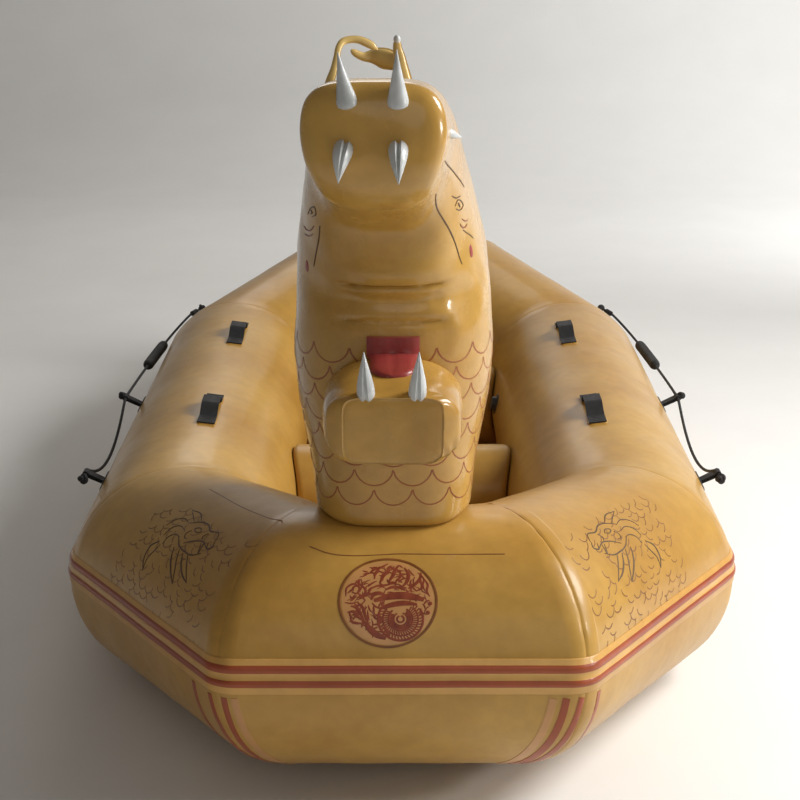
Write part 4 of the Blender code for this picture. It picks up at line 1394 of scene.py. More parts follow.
antlers = {
    # by side, each branch's points: x, y, z on the straight head, half width
    "branches": {
        "port": (
            (
                (0.0381, -1.2336, 1.425, 0.0182), (0.0342, -1.2288, 1.4555, 0.0167),
                (0.0293, -1.224, 1.4767, 0.0149), (0.0263, -1.2191, 1.4979, 0.0113),
                (0.0235, -1.2173, 1.5122, 0.0084), (0.0225, -1.2153, 1.527, 0.0071),
            ),
            (
                (0.0317, -1.2239, 1.4829, 0.0136), (0.0165, -1.2146, 1.4875, 0.0173),
                (0.0016, -1.2103, 1.4918, 0.02), (-0.0132, -1.2089, 1.4954, 0.0173),
                (-0.0261, -1.2085, 1.4956, 0.0124), (-0.0388, -1.2121, 1.4954, 0.0084),
                (-0.0515, -1.2167, 1.5009, 0.0069), (-0.0622, -1.2212, 1.5086, 0.0051),
            ),
        ),
        "starboard": (
            (
                (-0.1005, -1.32, 1.428, 0.0091), (-0.0934, -1.3147, 1.4617, 0.0084),
                (-0.0868, -1.3044, 1.4835, 0.0066), (-0.0824, -1.2892, 1.5049, 0.006),
                (-0.0797, -1.276, 1.5195, 0.006), (-0.0731, -1.2657, 1.5282, 0.0066),
                (-0.0609, -1.2591, 1.5312, 0.0066), (-0.0467, -1.2545, 1.5306, 0.0069),
                (-0.0323, -1.2518, 1.5253, 0.0076), (-0.0179, -1.2492, 1.517, 0.0062),
                (-0.0108, -1.2469, 1.5115, 0.0029),
            ),
        ),
    },
    "flat": (0.0, -0.93, 0.36),  # the leaves' broad sides look forwards
    "knob": {"place": (0.0225, -1.216, 1.5275), "radius": 0.0066, "long": 1.25},
    "thickness": 0.45,  # as a share of the width
    "rim": {"thickness": 0.0016, "from": 0.84},  # the welded edge, and where it starts across the leaf
    "tip": (0.9, 0.7, 0.35),  # how the last rows narrow
    "rows": 44,
}


def leafGrid(path, halfWidths):  # an inflated leaf with a thin welded edge
    ahead = unit(np.gradient(path, axis=0))
    across = unit(np.cross(ahead, np.array(antlers["flat"])))
    out = np.cross(across, ahead)
    turns = np.linspace(0, math.pi, 11)
    section = [(math.cos(turn) * antlers["rim"]["from"], math.sin(turn) ** 0.8) for turn in turns]
    section = [(1.0, 0.0)] + section + [(-1.0, 0.0)]
    section = [(x, height, 1) for x, height in section] + [(x, height, -1) for x, height in section[::-1]]
    grid = []
    for x, height, sign in section:
        half = antlers["rim"]["thickness"] / 2 + halfWidths * antlers["thickness"] * height
        grid.append(path + across * (halfWidths * x)[:, None] + out * (sign * half)[:, None])
    return np.stack(grid, axis=1)


def makeAntlers():
    for side, branches in antlers["branches"].items():
        shells = []
        for branch in branches:
            row = np.array(branch)
            lengths = pathLengths(row[:, :3])
            row = splineTable(lengths, row, np.linspace(0, lengths[-1], antlers["rows"]))
            halfWidths = row[:, 3].copy()
            halfWidths[-len(antlers["tip"]):] *= antlers["tip"]
            shells.append(gridShell(leafGrid(headPoints(row[:, :3]), halfWidths)))
        node = "antler_" + side
        addShells(pieceName(node), shells, pvc["antlerYellow"], "yellow_pvc", [node])
    knob = antlers["knob"]
    turns = np.radians(np.linspace(8, 172, 13))
    middle = headPoints(np.array(knob["place"]))
    path = middle + np.outer(-np.cos(turns) * knob["radius"] * knob["long"], upward)
    grid = tubeGrid(path, np.sin(turns) * knob["radius"], 20)
    addShells("antlerKnob", [gridShell(grid)], plastic["horn"], "spike_plastic")


makeAntlers()
print("antlers made")


# Tail on the stern tube

tail = {
    # y, z, radius
    "table": (
        (1.2, 0.45, 0.118), (1.235, 0.6, 0.115), (1.29, 0.73, 0.098), (1.345, 0.84, 0.074),
        (1.365, 0.92, 0.05), (1.35, 0.985, 0.026), (1.32, 1.02, 0.008),
    ),
    "rows": 60,
    "columns": 56,
    "footSteps": (0.0, 0.0008, 0.003, 0.0065, 0.011, 0.015, 0.019),
    "footRows": 18,
    "footTop": 30,  # the row up to which they are spread
    "footRound": 0.018,
    "waves": ((0.001, 0.12, 41), (0.0005, 0.04, 42)),
}


def makeTail():
    table = np.array(tail["table"])
    knots = pathLengths(table[:, :2])
    rows = splineTable(knots, table, np.linspace(0, knots[-1], tail["rows"]))
    path = np.stack([np.zeros(len(rows)), rows[:, 0], rows[:, 1]], axis=1)
    footSteps = np.array(tail["footSteps"])
    grid = tubeGrid(path, rows[:, 2], tail["columns"])
    grid = plantColumns(grid, hullTree, tail["footTop"], footSteps, tail["footRows"])
    grid = tuckFoot(outwardGrid(grid), footSteps, tail["footRound"])
    grid = grid + outwardNormals(grid) * unevenness(grid, tail["waves"])[..., None]
    shells = [gridShell(grid)]
    addShells("dragonTailSkin", shells, pvc["dragonYellow"], "yellow_pvc", ["dragon_tail"], sharpAngle=60)


makeTail()
print("tail made")


# Scales printed on the neck and hooks on the quarter tubes

neckScales = {
    "first": 0.64,  # height of the middle of the pattern's lower edges
    "heights": (0.42, 1.02, 25),  # first, last and number of the neck's outlines
    "shares": 241,  # places round each outline
    "inputs": {
        "Columns": 17, "Rows": 4, "Across": 0.0715, "Along": 0.0422, "Radius": 0.0355,
        "Start": math.radians(188), "Sweep": math.radians(164), "Stretch": 1.08, "Line": 0.003,
        "Kept": 1.0, "Wander": 0.03, "Seed": 5,
    },
}
hooks = {
    "away": 0.062,  # from the bow tube's mitre
    "low": 0.085,  # up round the tube
    "radius": 0.258,  # for the way up round it
    "kinds": ((195, 95, 3), (265, 80, 9)),  # start, sweep, seed
    "inputs": {
        "Columns": 13, "Rows": 7, "Across": 0.034, "Along": 0.017, "Radius": 0.0185,
        "Stretch": 0.9, "Line": 0.0025, "Kept": 0.464, "Wander": 0.45,
    },
}
printed = {"height": 0.3, "lift": 0.0002}  # how much of a line's thickness stands out, and its middle
quarterTubes = ((0, 1), (6, -1))  # tube, 1 where it starts at the bow and -1 where it ends there


def neckSections():  # the neck's outline at several heights, by the share of the way round it
    shares = np.linspace(0, 1, neckScales["shares"])
    table = np.array(neckRows() + [dragon["head"][0]])
    heights = np.linspace(*neckScales["heights"])
    rows = splineTable(table[:, 1], table, heights)
    sections = []
    for row in rows:
        ring = headPoints(headSection(row, 1.0, 0.0))
        ring = np.roll(ring, -(dragon["columns"] // 4), axis=0)
        ring = np.vstack([ring, ring[:1]])
        lengths = pathLengths(ring)
        sections.append([np.interp(shares * lengths[-1], lengths, ring[:, axis]) for axis in range(3)])
    return heights, shares, np.array(sections).transpose(0, 2, 1)


def onNeck(share, height):
    heights, shares, sections = neckTable
    share = np.mod(share, 1.0)
    k = np.clip((height - heights[0]) / (heights[1] - heights[0]), 0, len(heights) - 1.001)
    low, j = k.astype(int), share * (len(shares) - 1)
    left = np.clip(j.astype(int), 0, len(shares) - 2)
    up, right = (k - low)[:, None], (j - left)[:, None]
    lower = sections[low, left] * (1 - right) + sections[low, left + 1] * right
    upper = sections[low + 1, left] * (1 - right) + sections[low + 1, left + 1] * right
    return lower * (1 - up) + upper * up


neckTable = neckSections()


def makeNeckScales():
    look = neckScales["inputs"]
    flat, faces = runTree(scaleTree, look)
    share = flat[:, 0] / (look["Across"] * look["Columns"])
    guess = onNeck(share, neckScales["first"] + look["Radius"] + flat[:, 1])
    points = settle(dragonTree, guess, flat[:, 2] * printed["height"] + printed["lift"])
    addPattern("neckScales", [(points, faces)], plastic["scaleInk"], "red_pvc")


def makeHooks():
    parts = []
    for tube, fromBow in quarterTubes:
        length = tubeLength(tube, math.radians(45))
        for start, sweep, seed in hooks["kinds"]:
            turned = {"Start": math.radians(start), "Sweep": math.radians(sweep), "Seed": seed + tube}
            flat, faces = runTree(scaleTree, {**hooks["inputs"], **turned})
            reach = hooks["away"] + flat[:, 0]
            reach = reach if fromBow > 0 else length - reach
            turns = (hooks["low"] + flat[:, 1]) / hooks["radius"]
            points = hullSkin(tube, turns, reach, flat[:, 2] * printed["height"] + printed["lift"])
            parts.append((points, faces))
    addPattern("quarterHooks", parts, plastic["hookInk"], "red_pvc")


makeNeckScales()
makeHooks()
print("scales printed")


# Painted dragon in a ring on the bow tube, and a sketched head on each quarter tube

roundel = {
    "x": -0.028, "turn": 40.2, "radius": 0.0935, "height": 0.94, "ring": 0.052, "wash": 0.955,
    # in a circle of radius 1: the coiled body's middle and reach, then its rings with
    # radius, first and last turn and width, then its scales' inner and outer ends
    "coil": (0.26, -0.4, 0.5),
    "coilRings": (
        (0.07, -250, 80, 0.04),
        (0.14, -240, 70, 0.036),
        (0.25, -230, 60, 0.036),
        (0.36, -220, 46, 0.036),
        (0.46, -210, 30, 0.05),
    ),
    "coilScales": ((0.16, 0.24), (0.27, 0.35), (0.38, 0.45)),
    "scaleTurns": (-215, 50, 9),
    "scaleWidth": 0.03,
    "curls": {
        "count": 150, "seed": 17, "width": (0.02, 0.046), "length": (0.1, 0.24), "reach": 0.88,
        "square": 0.86, "start": 0.84,  # the starts are drawn in a square and kept in a circle
        "round": (0.05, -0.25), "wander": 0.35, "bend": 1.1,  # the place they wind round
    },
}
# strokes in a circle of radius 100: width, then places
roundelStrokes = (
    (17, (-28, 0), (0, 9), (28, 12), (56, 8), (74, 2)),
    (12, (-16, -17), (8, -9), (36, -5), (60, -8)),
    (9, (-34, 2), (-30, 13), (-17, 17), (-6, 12)),
    (7, (-6, 24), (8, 31), (24, 30), (36, 24)),
    (5, (-42, 22), (-24, 33), (-2, 36), (16, 42)),
    (8, (30, 32), (40, 46), (42, 62), (34, 78)),
    (7, (42, 28), (56, 38), (66, 52), (68, 66)),
    (9, (-14, 44), (-10, 58), (0, 70), (4, 82)),
    (8, (2, 44), (10, 58), (14, 70), (22, 84)),
    (6, (-28, 50), (-26, 62), (-20, 72), (-30, 80)),
    (5, (16, 46), (26, 56), (24, 68), (12, 76)),
    (5, (-40, 62), (-30, 72), (-12, 80), (0, 88)),
    (5, (74, 52), (82, 36), (80, 22), (86, 10)),
    (4, (62, 66), (74, 50), (72, 34), (78, 20)),
    (6, (58, 22), (70, 30), (68, 42), (60, 46)),
    (10, (84, -2), (86, -6), (85, -10)),
    (9, (80, -22), (82, -26), (80, -30)),
    (14, (-46, -46), (-36, -62), (-22, -74), (-4, -82)),
    (7, (-46, -46), (-62, -34), (-70, -24), (-82, -26)),
    (7, (-48, -44), (-56, -28), (-66, -14), (-76, -12)),
    (7, (-44, -44), (-48, -26), (-52, -14), (-62, -4)),
    (6, (-52, -50), (-68, -48), (-78, -44)),
    (5, (-86, 10), (-84, 30), (-70, 38), (-58, 28), (-64, 16), (-74, 20)),
    (5, (-62, 2), (-50, 10), (-46, 24), (-56, 36), (-66, 46)),
    (4, (-88, -4), (-74, -6), (-60, -2)),
    (6, (-26, -30), (-14, -36), (-18, -50), (-30, -52)),
    (5, (-12, -56), (-2, -66), (2, -78)),
)
# strokes in millimetres: width, then places away from the bow and up round the tube
sketchStrokes = (
    (3, (-100, 50), (-86, 70), (-50, 66), (-20, 78), (12, 74), (46, 58)),
    (3.4, (-98, 48), (-108, 34), (-94, 24), (-82, 38)),
    (3, (-92, 24), (-62, 34), (-30, 26), (2, 8)),
    (3.2, (-86, 8), (-60, -6), (-25, -8), (12, -2), (40, 16)),
    (2.6, (-24, 52), (-10, 60), (8, 52), (-6, 46), (-24, 52)),
    (3.2, (-70, 30), (-76, 6), (-60, 28)),
    (2.8, (10, 74), (48, 94), (92, 92)),
    (2.2, (92, 92), (60, 78), (30, 64)),
    (2.6, (46, 56), (80, 62), (110, 46), (122, 24)),
    (2.6, (40, 36), (70, 40), (95, 22), (100, 0)),
    (2.4, (35, 16), (58, 16), (78, 0), (80, -20)),
    (2, (-52, 58), (-44, 44), (-52, 36)),
    (2, (12, 44), (22, 32), (16, 20), (4, 22)),
    (4.2, (100, -18), (124, -40), (122, -74), (104, -98)),
    (3, (104, -98), (108, -70), (96, -44), (88, -24)),
    (4.2, (26, -12), (12, -36), (-18, -66), (-46, -86)),
    (3, (-46, -86), (-30, -58), (-12, -32), (0, -10)),
    (4, (-22, -14), (-38, -34), (-68, -56), (-100, -66)),
    (2.8, (-100, -66), (-78, -46), (-56, -24), (-44, -10)),
)
sketch = {"away": 0.262, "turn": 50.0, "line": 1.05, "height": 0.85}


def brushWidths(width, count, tip, power):  # narrow at both ends, where it is tip times the width
    shares = np.clip(np.linspace(0, 1, count), 0.03, 0.97)
    return width * (tip + (1 - tip) * np.sin(math.pi * shares) ** power)


def readStrokes(strokes, size):  # widths and places of the strokes of a table, by its measure
    return [(width / size, np.array(places) / size) for width, *places in strokes]


def taperedStroke(surface, width, places, lift=0.0009):
    return strokeShell(surface, places, brushWidths(width, len(places), 0.25, 0.6), lift)


def circlePlaces(turns):
    return np.stack([np.cos(turns), np.sin(turns)], axis=1)


def roundelCurls():  # short curls of mane, cloud and flame that fill the ring round the coiled body
    look = roundel["curls"]
    draw = np.random.default_rng(look["seed"])
    right, up, reach = roundel["coil"]
    middleX, middleY = look["round"]
    curls = []
    while len(curls) < look["count"]:
        start = draw.uniform(-look["square"], look["square"], 2)
        if np.hypot(*start) > look["start"] or np.hypot(start[0] - right, start[1] - up) < reach:
            continue
        turn = math.atan2(start[1] - middleY, start[0] - middleX) + math.pi / 2
        turn += draw.normal(0, look["wander"])
        length, bend = draw.uniform(*look["length"]), draw.normal(0, look["bend"])
        places = [start]
        for _ in range(3):
            turn += bend / 3
            places.append(places[-1] + length / 3 * np.array((math.cos(turn), math.sin(turn))))
        if max(np.hypot(*place) for place in places) < look["reach"]:
            curls.append((draw.uniform(*look["width"]), places))
    return curls


def roundelCoil(surface):  # the coiled body's rings and the scales between them
    middle = np.array(roundel["coil"][:2])
    shells = []
    for radius, first, last, width in roundel["coilRings"]:
        places = middle + radius * circlePlaces(np.radians(np.linspace(first, last, 16)))
        shells.append(strokeShell(surface, places, width, 0.0009, steps=30))
    for turn in np.radians(np.arange(*roundel["scaleTurns"])):
        spoke = np.array((math.cos(turn), math.sin(turn)))
        slant = np.array((-spoke[1], spoke[0])) * 0.03
        for inner, outer in roundel["coilScales"]:
            places = [middle + spoke * inner, middle + spoke * outer + slant]
            shells.append(strokeShell(surface, places, roundel["scaleWidth"], 0.0008, steps=3))
    return shells


def makeRoundel():
    radius = roundel["radius"]
    length = tubeLength(7, math.radians(roundel["turn"]))
    onTube = tubeSurface(7, length / 2 + roundel["x"], roundel["turn"])

    def surface(right, up, extra):
        return onTube(right * radius, up * radius * roundel["height"], extra)

    wash = discShell(surface, (0, 0), roundel["wash"], 0.0004)
    addShells("roundelWash", [wash], pvc["wash"], "yellow_pvc")
    ring = circlePlaces(np.linspace(0, 2 * math.pi, 73))
    ring = strokeShell(surface, ring, roundel["ring"], 0.001, steps=97)
    addShells("roundelRing", [ring], plastic["brownInk"], "red_pvc")
    shells = [taperedStroke(surface, *stroke) for stroke in readStrokes(roundelStrokes, 100)]
    shells += roundelCoil(surface)
    shells += [taperedStroke(surface, width, places, 0.0008) for width, places in roundelCurls()]
    addShells("roundelDragon", shells, plastic["redInk"], "red_pvc")


def makeSketches():
    shells = []
    for tube, fromBow in quarterTubes:
        length = tubeLength(tube, math.radians(sketch["turn"]))
        start = sketch["away"] if fromBow > 0 else length - sketch["away"]
        onTube = tubeSurface(tube, start, sketch["turn"])
        for width, places in readStrokes(sketchStrokes, 1000):
            flat = places * (fromBow, sketch["height"])
            shells.append(taperedStroke(onTube, width * sketch["line"], flat))
    addShells("quarterSketches", shells, plastic["ink"], "red_pvc")


makeRoundel()
makeSketches()
print("painted dragons made")


# Bars under the rub strake by the bow's mitres, and a dark line along the bow tube's lap seam, partly the
# seam and partly painted shade under its edge

bars = {"top": -1.2, "bottom": -58.0, "width": 0.0145}
# side of the bow, start and end away from the mitre (negative on the bow tube), finish
barTable = (
    ("port", -0.042, -0.05, "stripeRed"),
    ("port", -0.008, -0.026, "stripeRed"),
    ("port", 0.046, 0.052, "stripeRed"),
    ("port", -0.068, -0.076, "wash"),
    ("starboard", 0.104, 0.104, "stripeRed"),
    ("starboard", 0.031, 0.008, "stripeRed"),
    ("starboard", -0.01, -0.016, "stripeRed"),
    ("starboard", -0.034, -0.046, "wash"),
)
lapSeamShadeLine = {
    # x on the bow tube, degrees above the outward horizontal
    "bow": ((0.2, 62.0), (0.0, 62.0), (-0.15, 62.5), (-0.19, 66.0)),
    # on the starboard quarter tube: share of its length less some metres, degrees, radius there
    "quarter": ((1.0, 0.004, 78.9, 0.265), (0.75, 0.0, 78.9, 0.262), (1.0, 0.365, 80.8, 0.262)),
    "width": 0.0022,
    "lift": 0.0006,
}


def makeBars():
    for finish in ("stripeRed", "wash"):
        shells = []
        for side, start, end, look in barTable:
            if look != finish:
                continue
            onBow = start < 0
            tube = 7 if onBow else (0 if side == "port" else 6)
            atEnd = (side == "port") == onBow
            turns = np.radians(np.linspace(bars["top"], bars["bottom"], 9))
            places = []
            for turn, away in zip(turns, np.linspace(start, end, 9)):
                reach = tubeLength(tube, turn) - abs(away) if atEnd else abs(away)
                places.append((reach, turn * hullCorners[tube, 3]))
            surface = tubeSurface(tube, 0.0, 0.0, square=False)
            shells.append(strokeShell(surface, places, bars["width"], 0.0012, steps=24))
        addShells(finish + "Bars", shells, pvc[finish], "stripe_pvc")


def makeLapSeamShadeLine():
    middle = tubeLength(7, math.radians(lapSeamShadeLine["bow"][0][1])) / 2
    length = tubeLength(6, math.radians(lapSeamShadeLine["quarter"][0][2]))
    onBow = [(middle + x, math.radians(turn) * hullCorners[7, 3]) for x, turn in lapSeamShadeLine["bow"]]
    onQuarter = []
    for share, less, turn, radius in lapSeamShadeLine["quarter"]:
        onQuarter.append((length * share - less, math.radians(turn) * radius))
    shells = []
    for tube, places in ((7, onBow), (6, onQuarter)):
        surface = tubeSurface(tube, 0.0, 0.0, square=False)
        shells.append(strokeShell(surface, places, lapSeamShadeLine["width"], lapSeamShadeLine["lift"], steps=40))
    # a brown stroke along the lap seam: the seam's line, and painted shade where its edge would shade the
    # tube
    addShells("lapSeamShadeLine", shells, plastic["hookInk"], "yellow_pvc")


makeBars()
makeLapSeamShadeLine()
print("bars and lap seam made")


# Face: painted brows, cheek lines and dots

# places in the picture, width in metres at each end and in the middle
faceLines = (
    (0.0026, (436, 194), (437, 208), (443, 219), (449, 229), (457, 249), (462, 264)),
    (0.0024, (445, 161), (452, 170), (459, 179), (464, 187)),
    (0.0022, (452, 196), (456, 198), (460, 196)),
    (0.0022, (455, 206), (457, 201), (461, 201), (463, 205), (460, 210), (456, 209)),
    (0.0022, (463, 230), (467, 233), (470, 235), (473, 238)),
    (0.0038, (458, 203), (459, 205), (460, 207)),
    (0.0028, (320, 226), (319, 238), (316, 254), (314, 266)),
    (0.0036, (311, 210), (312, 212), (311, 214)),
    (0.002, (308, 214), (311, 208), (315, 208), (316, 213), (312, 217)),
)
cheekCurls = (
    (0.0026, (460, 224), (462, 227), (465, 227), (467, 224)),
    (0.0022, (462, 219), (465, 221), (468, 220)),
    (0.0026, (304, 226), (307, 230), (311, 230), (314, 226)),
    (0.0022, (305, 234), (309, 236), (313, 234)),
)
# places in the picture, then half width and half height in metres
faceDots = ((471.0, 251, 0.0068, 0.0125), (307.0, 266, 0.0075, 0.0115))


def faceStroke(width, places, steps=24):
    points, normals = pictureHits(dragonTree, places)
    shares = np.linspace(0, 1, len(points))
    fine = np.linspace(0, 1, steps)
    normals = np.stack([np.interp(fine, shares, normals[:, axis]) for axis in range(3)], axis=1)
    path = settle(dragonTree, smoothPath(points, steps), np.zeros(steps))
    return ribbon(path, normals, brushWidths(width, steps, 0.35, 0.5), 0.001, 0.001, 3)


def faceDot(place, halfWide, halfHigh):
    points, normals = pictureHits(dragonTree, [place])
    normal = unit(normals[0])
    side = unit(np.cross(upward, normal))
    up = np.cross(normal, side)

    def surface(first, second, extra):
        flat = points[0] + np.outer(first * halfWide, side) + np.outer(second * halfHigh, up)
        return settle(dragonTree, flat, extra)

    return discShell(surface, (0, 0), 1.0, 0.001, sides=36)


def makeFace():
    for name, lines, ink in (("faceLines", faceLines, "ink"), ("cheekCurls", cheekCurls, "redInk")):
        addShells(name, [faceStroke(width, places) for width, *places in lines], plastic[ink], "red_pvc")
    dots = [faceDot((x, y), halfWide, halfHigh) for x, y, halfWide, halfHigh in faceDots]
    addShells("faceDots", dots, pvc["tongueRed"], "red_pvc")


makeFace()
print("face painted")


# Thwarts: inflated cross seats whose ends press on the side tubes

thwarts = {
    "places": (("front", -0.2), ("rear", 0.52)),
    "radius": 0.125,
    "floor": 0.1,
    "gap": 0.0003,
    "press": 0.001,  # how far the ends stay off the side tubes
    "rim": 0.02,  # rounding of the ends
    "endScales": (0.25, 0.5, 0.7, 0.82),
    "waves": ((0.0012, 0.25, 51), (0.0005, 0.07, 52)),
    "wavesWithin": 0.25,
    "columns": 72,
}


def thwartGrid(y):
    radius, rim = thwarts["radius"], thwarts["rim"]
    turns = turnsRound(thwarts["columns"])

    def ring(share, scale, inset):
        z = thwarts["floor"] + radius + thwarts["gap"] + radius * scale * np.sin(turns)
        away = np.sqrt((sideTube["radius"] + thwarts["press"]) ** 2 - (z - sideTube["radius"]) ** 2)
        x = share * (sideTube["x"] - away - inset)
        return np.stack([x, y + radius * scale * np.cos(turns), z], axis=1)

    end = [(1.0, scale, 0.0) for scale in thwarts["endScales"]]
    for turn in np.radians(np.arange(0, 91, 15)):
        end.append((1.0, 1 - rim / radius * (1 - math.sin(turn)), rim * (1 - math.cos(turn))))
    rings = [(-share, scale, inset) for share, scale, inset in end]
    rings += [(share, 1.0, rim) for share in np.linspace(-0.9, 0.9, 31)]
    rings += end[::-1]
    return np.array([ring(*values) for values in rings])


def makeThwarts():
    for place, y in thwarts["places"]:
        grid = thwartGrid(y)
        relief = unevenness(grid, thwarts["waves"]) * (np.abs(grid[..., 0]) < thwarts["wavesWithin"])
        grid = grid + outwardNormals(grid) * relief[..., None]
        name, node = "thwart" + place.capitalize() + "Tube", "thwart_" + place
        piece = addShells(name, [gridShell(grid)], pvc["yellow"], "yellow_pvc", [node], sharpAngle=60)


makeThwarts()
print("thwarts made")


# Floor and pedestal: soft copies of their solids

blocks = {
    "air_floor": {
        "name": "airFloorPanel", "voxel": 0.0085, "smooth": 6, "finish": "floorYellow", "slot": "floor_pvc",
        "channels": {"pitch": 0.085, "depth": 0.004, "power": 0.6},
    },
    "bow_pedestal": {
        "name": "bowPedestalBlock", "voxel": 0.008, "smooth": 8, "finish": "yellow", "slot": "yellow_pvc",
    },
}


def softCopy(node, look):
    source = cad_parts[node].data.copy()
    faceOutwards(source, merge=1e-5)
    holder = addObject(node, source)
    remesh = holder.modifiers.new("remesh", "REMESH")
    remesh.mode = "VOXEL"
    remesh.voxel_size = look["voxel"]
    mesh = takeMesh(holder)
    worked = bmesh.new()
    worked.from_mesh(mesh)
    axes = {"use_axis_x": True, "use_axis_y": True, "use_axis_z": True}
    for _ in range(look["smooth"]):
        bmesh.ops.smooth_vert(worked, verts=worked.verts, factor=0.5, **axes)
    worked.to_mesh(mesh)
    worked.free()
    mesh.materials.clear()
    if not mesh.uv_layers:
        mesh.uv_layers.new(name="UVMap")
    return mesh


def cutChannels(mesh, look):  # the floor's upper face dips along rows of welds
    points, normals = meshValues(mesh, "co"), meshValues(mesh, "normal")
    channel = np.abs(np.sin(math.pi * points[:, 0] / look["pitch"])) ** look["power"]
    points[:, 2] -= look["depth"] * (1 - channel) * (normals[:, 2] > 0.8)
    mesh.vertices.foreach_set("co", points.ravel())
    mesh.update()


def makeBlocks():
    for node, look in blocks.items():
        mesh = softCopy(node, look)
        if "channels" in look:
            cutChannels(mesh, look["channels"])
        addPiece(look["name"], mesh, pvc[look["finish"]], look["slot"], [node], sharpAngle=60)


makeBlocks()
print("floor and pedestal made")


# Carry handles: a strap that arches between two welded patches

handles = {
    "places": (("front", -0.32), ("rear", 0.39)),
    "turn": 97.5,
    "length": 0.22,
    "width": 0.045,
    "thickness": 0.0034,
    "rise": 0.03,
    "slope": 0.04,
    "sag": -0.0004,  # of the strap's middle across its width
    "gap": 0.0002,
    "foot": 0.046,
    "seam": (0.006, 0.005),  # from the stitches to the strap's end and to its sides
    "patch": {"length": 0.052, "width": 0.051, "corner": 0.01, "thickness": 0.0028, "in": 0.025},
}


def sideSurface(sign, y, turn):  # a place on a side tube by its y, at a turn near the tube's crown
    tube = 1 if sign > 0 else 5
    start = mitreRing(tube, np.radians([turn]), np.zeros(1))[0][1]
    surface = tubeSurface(tube, (y - start) * sign, turn)
    return lambda first, second, extra: surface(first * sign, second, extra)


def strapShell(sign, y):
    half, low = handles["length"] / 2, handles["patch"]["thickness"] + handles["gap"]
    outward = sidePoint(sign, 0, 1, handles["turn"]) - sidePoint(sign, 0, 0, handles["turn"])
    along = np.linspace(-half, half, 61)
    arch = smoothStep(0, 1, (half - handles["foot"] - np.abs(along)) / handles["slope"])
    surface = sideSurface(sign, y, handles["turn"])
    base = surface(along, np.zeros_like(along), low + (handles["rise"] - low) * arch)
    normals = np.tile(outward, (len(along), 1))
    return ribbon(base, normals, handles["width"], handles["thickness"], 0.0, 9, handles["sag"])


def makeHandles():
    patch = handles["patch"]
    outline = roundedOutline(patch["length"], patch["width"], patch["corner"])
    sewn = patch["thickness"] + handles["gap"] + handles["thickness"]  # height of the strap's upper face
    patches = []
    for side, sign in boatSides:
        for place, y in handles["places"]:
            shells = [strapShell(sign, y)]
            for end in (-1, 1):
                middle = y + end * (handles["length"] / 2 - patch["in"])
                surface = sideSurface(sign, middle, handles["turn"])
                patches.append(padShell(surface, outline, patch["thickness"]))
                shells.append(boxStitches(surface, sewn))
            node = f"carry_handle_{side}_{place}"
            addShells(pieceName(node), shells, woven["webbing"], "webbing", [node])
    addShells("handlePatches", patches, pvc["yellow"], "yellow_pvc")


def boxStitches(surface, height):  # a sewn box with a cross through it
    endSeam, sideSeam = handles["seam"]
    long, wide = handles["foot"] / 2 - endSeam, handles["width"] / 2 - sideSeam
    corners = np.array([(-long, -wide), (long, -wide), (long, wide), (-long, wide)])
    shells = []
    for first, last in ((0, 1), (1, 2), (2, 3), (3, 0), (0, 2), (1, 3)):
        start, end = corners[first], corners[last]
        length = np.linalg.norm(end - start)
        direction = (end - start) / length
        side = np.array((-direction[1], direction[0]))
        flat, faces = stitchRow(length)
        places = start + flat[:, :1] * direction + flat[:, 1:2] * side
        points = surface(places[:, 0], places[:, 1], height + flat[:, 2])
        shells.append((points, faces, plainPlaces(faces)))
    return joinShells(shells)


makeHandles()
print("carry handles made")


# Anchors: a tab folded round the lifeline, on a patch

def tabWall(root, eye, out, up, inset):  # along the tab's underside, round the line and back
    tab = anchors["tab"]
    half, radius = tab["half"] - inset, tab["radius"] - inset
    parts = np.linspace(0, 1, 7)[:-1]
    turns = np.radians(np.linspace(-tab["turn"], tab["turn"], 25))
    legs = root + np.outer(parts * tab["straight"], eye - root)
    rise = np.outer(half * (1 + tab["spread"] * parts), up)
    bow = eye + radius * (np.outer(np.cos(turns), out) + np.outer(np.sin(turns), up))
    return np.concatenate([legs - rise, bow, (legs + rise)[::-1]])


def tabShell(middle, eye, out, along, up):
    tab = anchors["tab"]
    root = middle + out * tab["root"]
    outer, inner = (tabWall(root, eye, out, up, inset) for inset in (0, tab["thickness"]))
    shift = along * tab["width"] / 2
    return gridShell(np.stack([outer - shift, outer + shift, inner + shift, inner - shift], axis=1))


def makeAnchors():
    look = anchors["patch"]
    outline = roundedOutline(look["length"], look["width"], look["corner"])
    for side, sign in boatSides:
        for place, tube, share in anchors["table"]:
            middle, out, along, up = (vector * (sign, 1, 1) for vector in anchorFrame(tube, share))
            eye = middle + out * lifeline["reach"]

            def patch(first, second, extra):
                flat = middle + np.outer(first, along) + np.outer(second, up)
                return settle(hullTree, flat, extra)

            shells = [tabShell(middle, eye, out, along, up), padShell(patch, outline, look["thickness"])]
            if place == "middle":
                shells += knotShells(eye + out * anchors["knot"]["out"], along, anchors["knot"]["size"])
            node = f"line_anchor_{side}_{place}"
            addShells(pieceName(node), shells, woven["webbing"], "webbing", [node])


makeAnchors()
print("anchors made")


# Valves: screw caps on welded flanges

